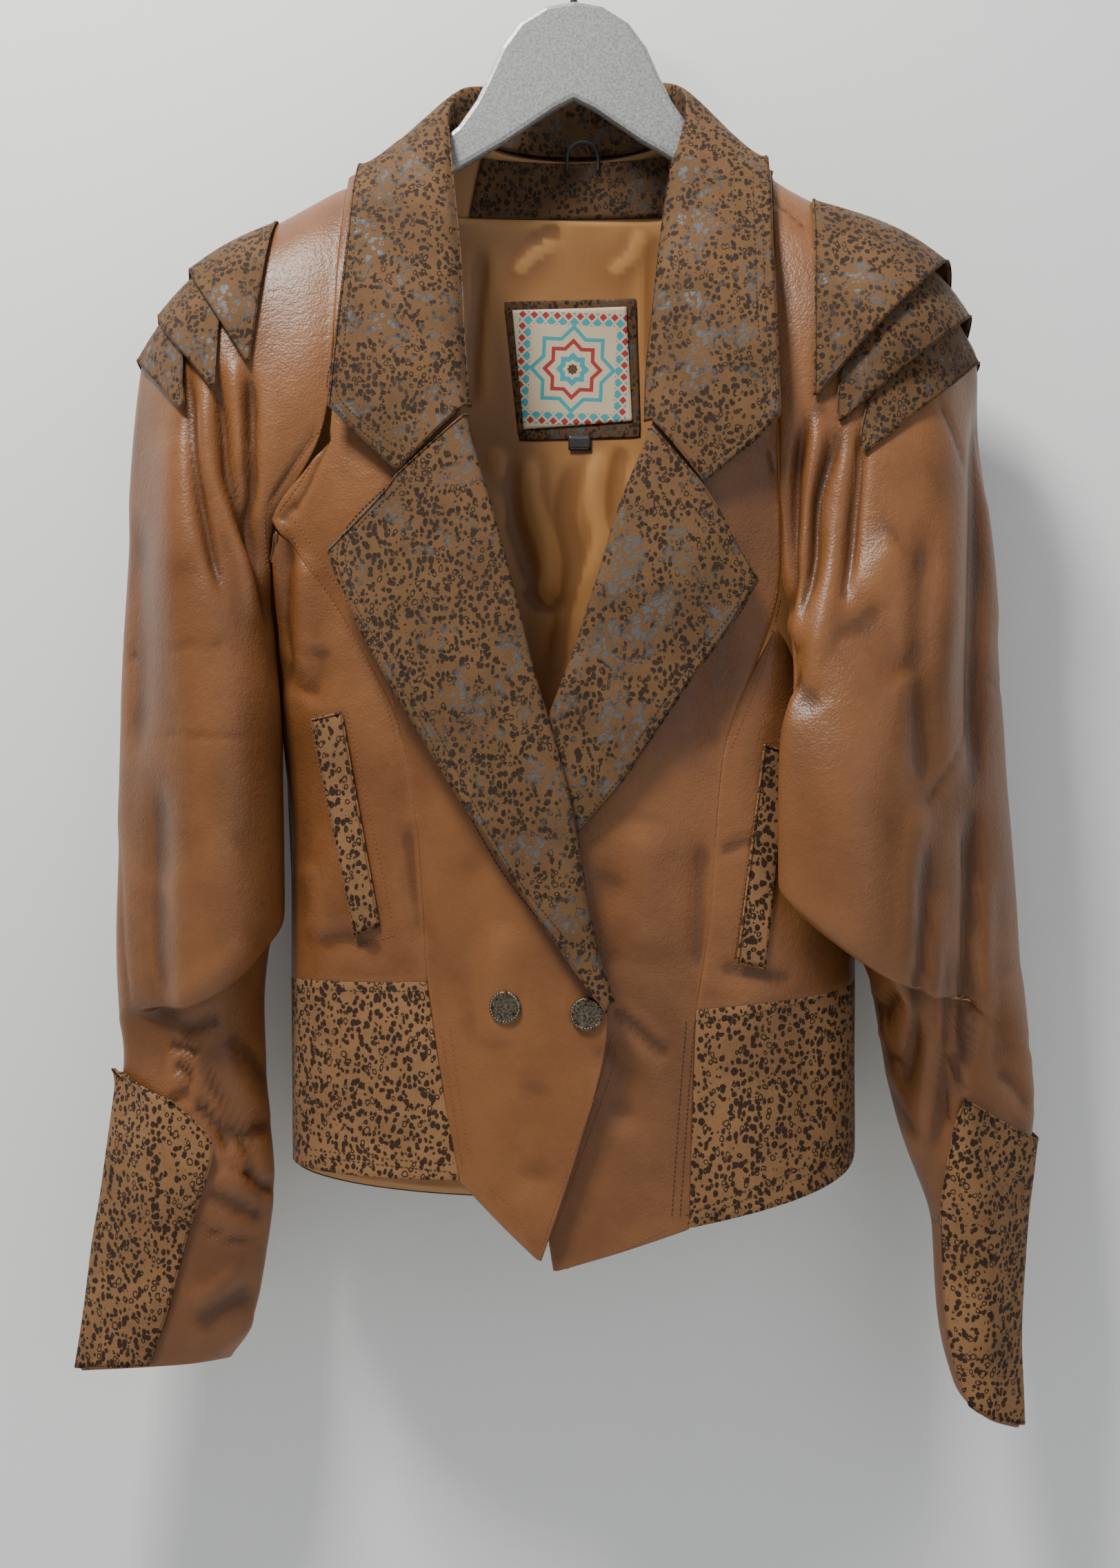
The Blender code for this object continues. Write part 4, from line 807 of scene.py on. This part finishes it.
CREASES_FRONTS = [
    ([(-176, -377), (-173, -398), (-174, -419), (-175, -439), (-173, -460), (-175, -485)], 5, -3.5),
    ([(-165, -389), (-163, -419), (-163, -448), (-165, -477)], 9, 2.5),
    ([(-178, -377), (-173, -369), (-165, -364)], 4, -1),
    ([(-155, -448), (-156, -469), (-163, -485)], 9, -1.5),
    ([(-59, -552), (-67, -602), (-68, -652), (-55, -710)], 14, -2),
    ([(-38, -614), (-49, -652), (-46, -694)], 12, 1.5),
    ([(28, -577), (12, -614), (28, -652)], 16, -1.6),
    ([(45, -552), (41, -598), (43, -644)], 16, 1.8),
    ([(22, -668), (35, -679), (51, -693), (60, -698)], 4, -2.2),
    ([(12, -685), (28, -710), (30, -744)], 10, -1.5),
    ([(-22, -702), (-26, -744), (-24, -785)], 14, -1.2),
    ([(-157, -633), (-138, -627), (-113, -637)], 6, -1.5),
    ([(-163, -577), (-155, -602), (-159, -631)], 7, 1.5),
    ([(-101, -552), (-97, -594), (-90, -635)], 7, -1.6),
    ([(78, -560), (76, -610), (75, -656)], 7, -1.5),
    ([(87, -577), (103, -569), (114, -571)], 4, -1),
    ([(83, -644), (108, -648), (137, -652)], 6, -1.2),
    ([(95, -419), (87, -477), (85, -527)], 10, -1.6),
    ([(-155, -235), (-170, -277), (-163, -310)], 10, -1.8),
    ([(-180, -310), (-167, -327), (-151, -331)], 8, 1.5),
    ([(133, -198), (133, -260), (128, -319), (126, -377)], 7, -2.0),
    ([(124, -206), (123, -260), (119, -327)], 6, 1.5),
]
CREASES_LINING = [
    ([(-55, -206), (-57, -235), (-60, -269), (-61, -310)], 4.2, -1.25),
    ([(-28, -210), (-17, -202), (-7, -198)], 3.5, -1.25),
    ([(-36, -227), (-24, -214), (-13, -204)], 3.5, 1.25),
    ([(51, -198), (47, -239), (48, -294)], 4.2, -1.00),
    ([(41, -198), (35, -214), (20, -227)], 3.5, 0.80),
    ([(-38, -335), (-40, -360), (-32, -389), (-22, -419)], 5.6, -1.75),
    ([(-26, -331), (-24, -364), (-15, -394), (-17, -435)], 4.9, 1.50),
    ([(-1, -335), (-5, -369), (0, -402), (-7, -435), (-13, -477)], 5.6, -1.75),
    ([(16, -327), (12, -360), (16, -389), (3, -427)], 4.9, 1.50),
    ([(30, -327), (26, -352), (24, -385)], 4.2, -1.25),
    ([(-49, -327), (-42, -352), (-45, -381)], 4.2, 1.00),
    ([(-30, -414), (-17, -427), (-1, -423)], 4.2, -1.25),
]
GROOVES = [
    [(-278, -445), (-275, -444)],
    [(-273, -451), (-270, -454), (-265, -459)],
    [(-276, -552), (-274, -602), (-272, -638), (-267, -677)],
    [(-229, -699), (-217, -713), (-198, -744), (-187, -763)],
    [(-229, -799), (-209, -808), (-181, -815)],
    [(218, -297), (229, -321), (239, -349)],
    [(241, -495), (226, -524), (211, -552)],
    [(247, -466), (255, -474), (264, -480)],
    [(118, -180), (131, -190), (143, -201)],
    [(117, -331), (120, -338), (122, -347)],
    [(214, -800), (220, -798), (226, -796)],
    [(-177, -375), (-163, -358), (-146, -321)],
    [(-186, -368), (-174, -348), (-159, -325), (-149, -314)],
]
GROOVES_AS_FOLDS = [(line, 1.6, -0.9) for line in GROOVES]
STITCHES_TAN = [
    [(-184, -365), (-172, -347), (-160, -329), (-150, -315)],
    [(-178, -369), (-165, -351), (-154, -332), (-147, -320)],
    [(-173, -369), (-163, -383), (-151, -402), (-136, -425), (-122, -452), (-111, -475), (-104, -510)],
    [(-176, -376), (-163, -396), (-145, -425), (-130, -452), (-115, -481), (-107, -510)],
    [(-187, -371), (-186, -394), (-182, -414)],
    [(-228, -796), (-209, -806), (-181, -812)],
    [(-230, -802), (-209, -812), (-181, -819)],
    [(123, -417), (113, -451), (99, -490), (90, -513)],
    [(125, -422), (116, -459), (101, -498), (92, -519)],
    [(214, -798), (226, -794)],
    [(214, -802), (226, -798)],
    [(-80, -685), (-74, -723), (-67, -769)],
    [(-75, -681), (-69, -723), (-61, -769)],
    [(-158, -494), (-137, -489)],
    [(-137, -489), (-108, -625)],
    [(-108, -625), (-130, -632)],
    [(-159, -498), (-131, -632)],
    [(112, -539), (105, -585), (96, -644)],
    [(96, -645), (116, -647)],
    [(-20, -815), (-1, -760), (17, -710), (23, -685)],
    [(-15, -814), (3, -764), (21, -714), (27, -685)],
    [(-5, -827), (28, -816), (58, -802)],
    [(-55, -774), (-38, -790), (-24, -813)],
]
STITCHES_DARK = [
    [(-165, -657), (-130, -659), (-89, -659)],
    [(-163, -758), (-117, -764), (-70, -769)],
    [(-163, -754), (-117, -760), (-71, -764)],
    [(75, -679), (116, -671), (153, -662)],
    [(68, -800), (116, -780), (164, -761)],
    [(67, -795), (116, -775), (163, -756)],
    [(73, -677), (69, -727), (64, -798)],
    [(68, -677), (64, -727), (59, -799)],
    [(-104, -344), (-143, -393), (-117, -452), (-91, -499), (-46, -583), (-2, -639)],
    [(-100, -348), (-138, -394), (-112, -450), (-86, -496), (-42, -579), (0, -634)],
    [(74, -361), (108, -412), (70, -469), (39, -516), (0, -564)],
    [(71, -365), (103, -412), (66, -467), (35, -513)],
    [(-137, -203), (-141, -239), (-144, -269), (-147, -302), (-107, -337)],
    [(-132, -203), (-136, -239), (-139, -269), (-142, -300), (-107, -331)],
    [(-129, -166), (-133, -203)],
    [(113, -160), (116, -251), (120, -312), (78, -351)],
    [(108, -160), (111, -251), (115, -309), (78, -345)],
]

# %% Folds of the hidden side
CREASES_BACK = [
    ([(-120, -420), (-118, -520), (-122, -640)], 12, 1.6),
    ([(-70, -300), (-78, -420), (-74, -560)], 14, -1.4),
    ([(0, -260), (4, -420), (0, -600)], 16, 1.2),
    ([(74, -300), (80, -430), (76, -570)], 14, -1.4),
    ([(120, -420), (122, -540), (118, -650)], 12, 1.6),
    ([(-150, -640), (-60, -655), (40, -648), (150, -642)], 3, -1.0),
    ([(-150, -690), (-90, -706), (-30, -700)], 9, -1.2),
    ([(40, -720), (100, -708), (150, -700)], 9, -1.2),
]
CREASES_SLEEVE_BACK = [
    ([(-180, -260), (-190, -330), (-188, -420)], 7, -3.0),
    ([(-210, -300), (-214, -370), (-206, -450)], 8, -3.0),
    ([(-240, -320), (-244, -420), (-238, -520)], 9, 2.2),
    ([(-190, -560), (-220, -580), (-260, -575)], 8, -2.0),
    ([(-200, -640), (-230, -655), (-270, -645)], 5, -2.6),
    ([(-205, -680), (-240, -690), (-280, -682)], 5, -2.2),
    ([(-210, -720), (-240, -735), (-275, -728)], 6, 1.8),
]
CREASES_SLEEVE_BACK_LEFT = [([(-x, z) for x, z in line], half, rise) for line, half, rise in CREASES_SLEEVE_BACK]

# %% [markdown]
# ## The leather panels
# Back, fronts, side fronts and sleeves are one hide, so they share one finish, with the lining behind.

# %% Leather panels
sheet("back", BACK, tan, lining, back_folds=CREASES_BACK, swell=0.8)
for name in ("front_right", "front_left", "side_front_right", "side_front_left"):
    sheet(name, FRONT, tan, lining, folds=CREASES_FRONTS + GROOVES_AS_FOLDS, reach=1.5, corners=True)
sheet("sleeve_right", None, tan, lining, folds=CREASES_RIGHT_SLEEVE + GROOVES_AS_FOLDS,
      back_folds=CREASES_SLEEVE_BACK, reach=1.3, swell=0.8, smooth=4)
sheet("sleeve_left", None, tan, lining, folds=CREASES_LEFT_SLEEVE + GROOVES_AS_FOLDS,
      back_folds=CREASES_SLEEVE_BACK_LEFT, reach=1.3, swell=0.8, smooth=4)

# %% [markdown]
# ## The suede panels
# The hem and the cuffs are dull and light; on the collar, lapels and flaps the print is glossier and carries a
# painted grey reflection.

# %% Suede panels
for name in ("hem_panel_right", "hem_panel_left"):
    sheet(name, FRONT, hem_suede, lining, reach=0.7, smooth=4, corners=True)
for name in ("cuff_panel_right", "cuff_panel_left"):
    sheet(name, None, hem_suede, reach=0.2, smooth=3, least=0.3)
for name in ("pocket_welt_right", "pocket_welt_left"):
    sheet(name, FRONT, hem_suede, reach=0.1, swell=0.2, levels=2, smooth=0, corners=True)
for side in ("right", "left"):
    for n in (1, 2, 3):
        sheet(f"flap_{side}_{n}", None, collar_suede, reach=0.1, swell=0.4, smooth=3,
              least=0.3 if (side, n) == ("left", 3) else -1.0)
sheet("collar", None, collar_suede, reach=0.1, swell=0.5, smooth=3, least=0.3, corners=True)
sheet("lapel_right", FRONT, collar_suede, reach=0.1, swell=0.5, smooth=3, least=0.3, corners=True)
sheet("lapel_left", FRONT, collar_suede, reach=0.1, swell=0.5, smooth=3, least=0.3, corners=True)

# %% [markdown]
# ## The inside, seen through the neck
# A suede facing, the copper lining with its own loose folds, a pinked suede patch, the label and its tab.

# %% Inside pieces
sheet("neck_facing", FRONT, inner_suede, reach=0.4, levels=2, swell=0.3, smooth=1, corners=True)
sheet("lining_back", FRONT, lining, folds=CREASES_LINING, thick=0.6, reach=0.4, swell=0.6)
sheet("label_patch", FRONT, inner_suede, thick=0.5, levels=2, reach=2.4, swell=0.2, smooth=0, teeth=True)
sheet("label", FRONT, label_material, thick=0.5, levels=3, reach=0.2, swell=0.2, smooth=0, corners=True)
sheet("size_tab", FRONT, tape, thick=0.5, levels=2, reach=0.1, swell=0.1, smooth=0)

# %% [markdown]
# ## The hanger
# Its solids have the right shape already, so they stay and get their finishes.

# %% Finishes on the hanger and loop
for name, material in (("hanger_body", hanger_paint), ("hanger_hook", wire), ("hanger_loop", tape)):
    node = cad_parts[name]
    node.data.materials.clear()
    node.data.materials.append(material)


# %% [markdown]
# ## The press studs
# A stud cap is turned metal with stepped rings and a rope edge. It is modelled once with inset and
# extrude, given a ring of beads, and copied to its second place.

# %% Model one stud
def select_top():
    """Select the highest flat face of the mesh in edit mode."""
    bm = bmesh.from_edit_mesh(bpy.context.object.data)
    top = max(bm.faces, key=lambda f: f.calc_center_median().z + f.normal.z)
    for face in bm.faces:
        face.select = face is top
    bmesh.update_edit_mesh(bpy.context.object.data)


STUD_STEPS = [(0.0009, 0.0), (0.0001, 0.0011), (0.0008, 0.0004), (0.0009, 0.0), (0.0002, -0.0006),
              (0.0012, 0.0), (0.0003, 0.0005), (0.0014, 0.0003)]
bpy.ops.object.select_all(action="DESELECT")
bpy.ops.mesh.primitive_cylinder_add(vertices=48, radius=0.0092, depth=0.0016, location=(0, 0, 0))
stud = bpy.context.object
bpy.ops.object.mode_set(mode="EDIT")
bpy.ops.mesh.select_mode(type="FACE")
for inset, lift in STUD_STEPS:
    select_top()
    bpy.ops.mesh.inset(thickness=inset, depth=0)
    if lift:
        bpy.ops.transform.translate(value=(0, 0, lift))
bpy.ops.object.mode_set(mode="OBJECT")
beads = []
for n in range(30):
    turn = n * math.tau / 30
    bpy.ops.object.select_all(action="DESELECT")
    bpy.ops.mesh.primitive_ico_sphere_add(subdivisions=2, radius=0.00085,
                                          location=(0.0083 * math.cos(turn), 0.0083 * math.sin(turn), 0.0009))
    bead = bpy.context.object
    bead.scale = (0.8, 1.25, 0.8)
    bead.rotation_euler = (0, 0, turn + 0.5)
    beads.append(bead)
bpy.ops.object.select_all(action="DESELECT")
for bead in beads:
    bead.select_set(True)
stud.select_set(True)
bpy.context.view_layer.objects.active = stud
bpy.ops.object.join()
stud.data.materials.append(brass)
stud.data.shade_smooth()
print("stud faces", len(stud.data.polygons))


# %% Place both studs
def set_stud(node, source):
    """Copy of the stud on a CAD stud's place, turned along its axis."""
    points = coordinates(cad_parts[node].data)
    middle = points.mean(axis=0)
    axis = Vector(np.linalg.eigh(np.cov((points - middle).T))[1][:, 0])
    axis = -axis if axis.y > 0 else axis
    base = Vector(middle) + axis * (min((Vector(p) - Vector(middle)).dot(axis) for p in points) + 0.0008)
    copy = bpy.data.objects.new(node + "_cap", source.data.copy())
    copy.data.transform(Matrix.Translation(base) @ axis.to_track_quat("Z", "Y").to_matrix().to_4x4())
    bpy.context.scene.collection.objects.link(copy)
    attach(copy, "root")
    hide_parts(node)
    return copy


caps = [set_stud("stud_1", stud), set_stud("stud_2", stud)]
bpy.data.objects.remove(stud)


# %% [markdown]
# ## The stitching
# Rows of stitches run beside the seams and edges. Each stitch is a small spindle of thread, laid on the
# sheet that the camera sees at that place, so a row follows every fold under it.

# %% Lay rows of stitches
def surface_tree(names):
    """Ray-casting tree over finished sheets."""
    verts, faces = [], []
    for name in names:
        mesh = made[name].data
        start = len(verts)
        verts += [v.co.copy() for v in mesh.vertices]
        faces += [[start + k for k in p.vertices] for p in mesh.polygons]
    return BVHTree.FromPolygons(verts, faces)


def spindle(centre, along, normal, length, radius):
    """Points and faces of one stitch."""
    along = along.normalized()
    side = along.cross(normal).normalized()
    rings = []
    for t in (-0.3, 0.3):
        rings.append([centre + along * (t * length) + (side * math.cos(a) + normal * math.sin(a)) * radius
                      for a in np.linspace(0, math.tau, 6, endpoint=False)])
    verts = [centre - along * length / 2, *rings[0], *rings[1], centre + along * length / 2]
    faces = [(0, 1 + (k + 1) % 6, 1 + k) for k in range(6)]
    faces += [(1 + k, 1 + (k + 1) % 6, 7 + (k + 1) % 6, 7 + k) for k in range(6)]
    faces += [(13, 7 + k, 7 + (k + 1) % 6) for k in range(6)]
    return verts, faces


def stitch_rows(name, rows, tree, material, pitch=3.0, radius=0.27):
    """Rows of thread along lines of the picture's plane."""
    verts, faces, count = [], [], 0
    for row in rows:
        line = rounded(row, 12)
        lengths = np.concatenate([[0], np.cumsum(np.linalg.norm(np.diff(line, axis=0), axis=1))])
        places = np.arange(pitch / 2, lengths[-1], pitch)
        spots_on = np.stack([np.interp(places, lengths, line[:, k]) for k in (0, 1)], axis=1)
        hits = []
        for x, z in spots_on:
            way = (Vector((x * MM, 0, z * MM)) - EYE).normalized()
            hits.append(tree.ray_cast(EYE, way)[:2])
        for (here, normal), (there, _) in zip(hits[:-1], hits[1:]):
            if here is None or there is None or (there - here).length > 2.2 * pitch * MM:
                continue
            normal = -normal if normal.y > 0 else normal
            v, f = spindle(here + normal * 0.00012, there - here, normal, pitch * 0.72 * MM, radius * MM)
            faces += [[len(verts) + k for k in face] for face in f]
            verts += v
            count += 1
    mesh = bpy.data.meshes.new(name)
    mesh.from_pydata(verts, [], faces)
    mesh.materials.append(material)
    mesh.shade_smooth()
    piece = bpy.data.objects.new(name, mesh)
    bpy.context.scene.collection.objects.link(piece)
    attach(piece, "root")
    print(name, count, "stitches")
    return piece


everything = surface_tree([n for n in made])
tan_rows = stitch_rows("tan_stitching", STITCHES_TAN, everything, tan_thread)
dark_rows = stitch_rows("dark_stitching", STITCHES_DARK, everything, dark_thread, 2.9, 0.3)
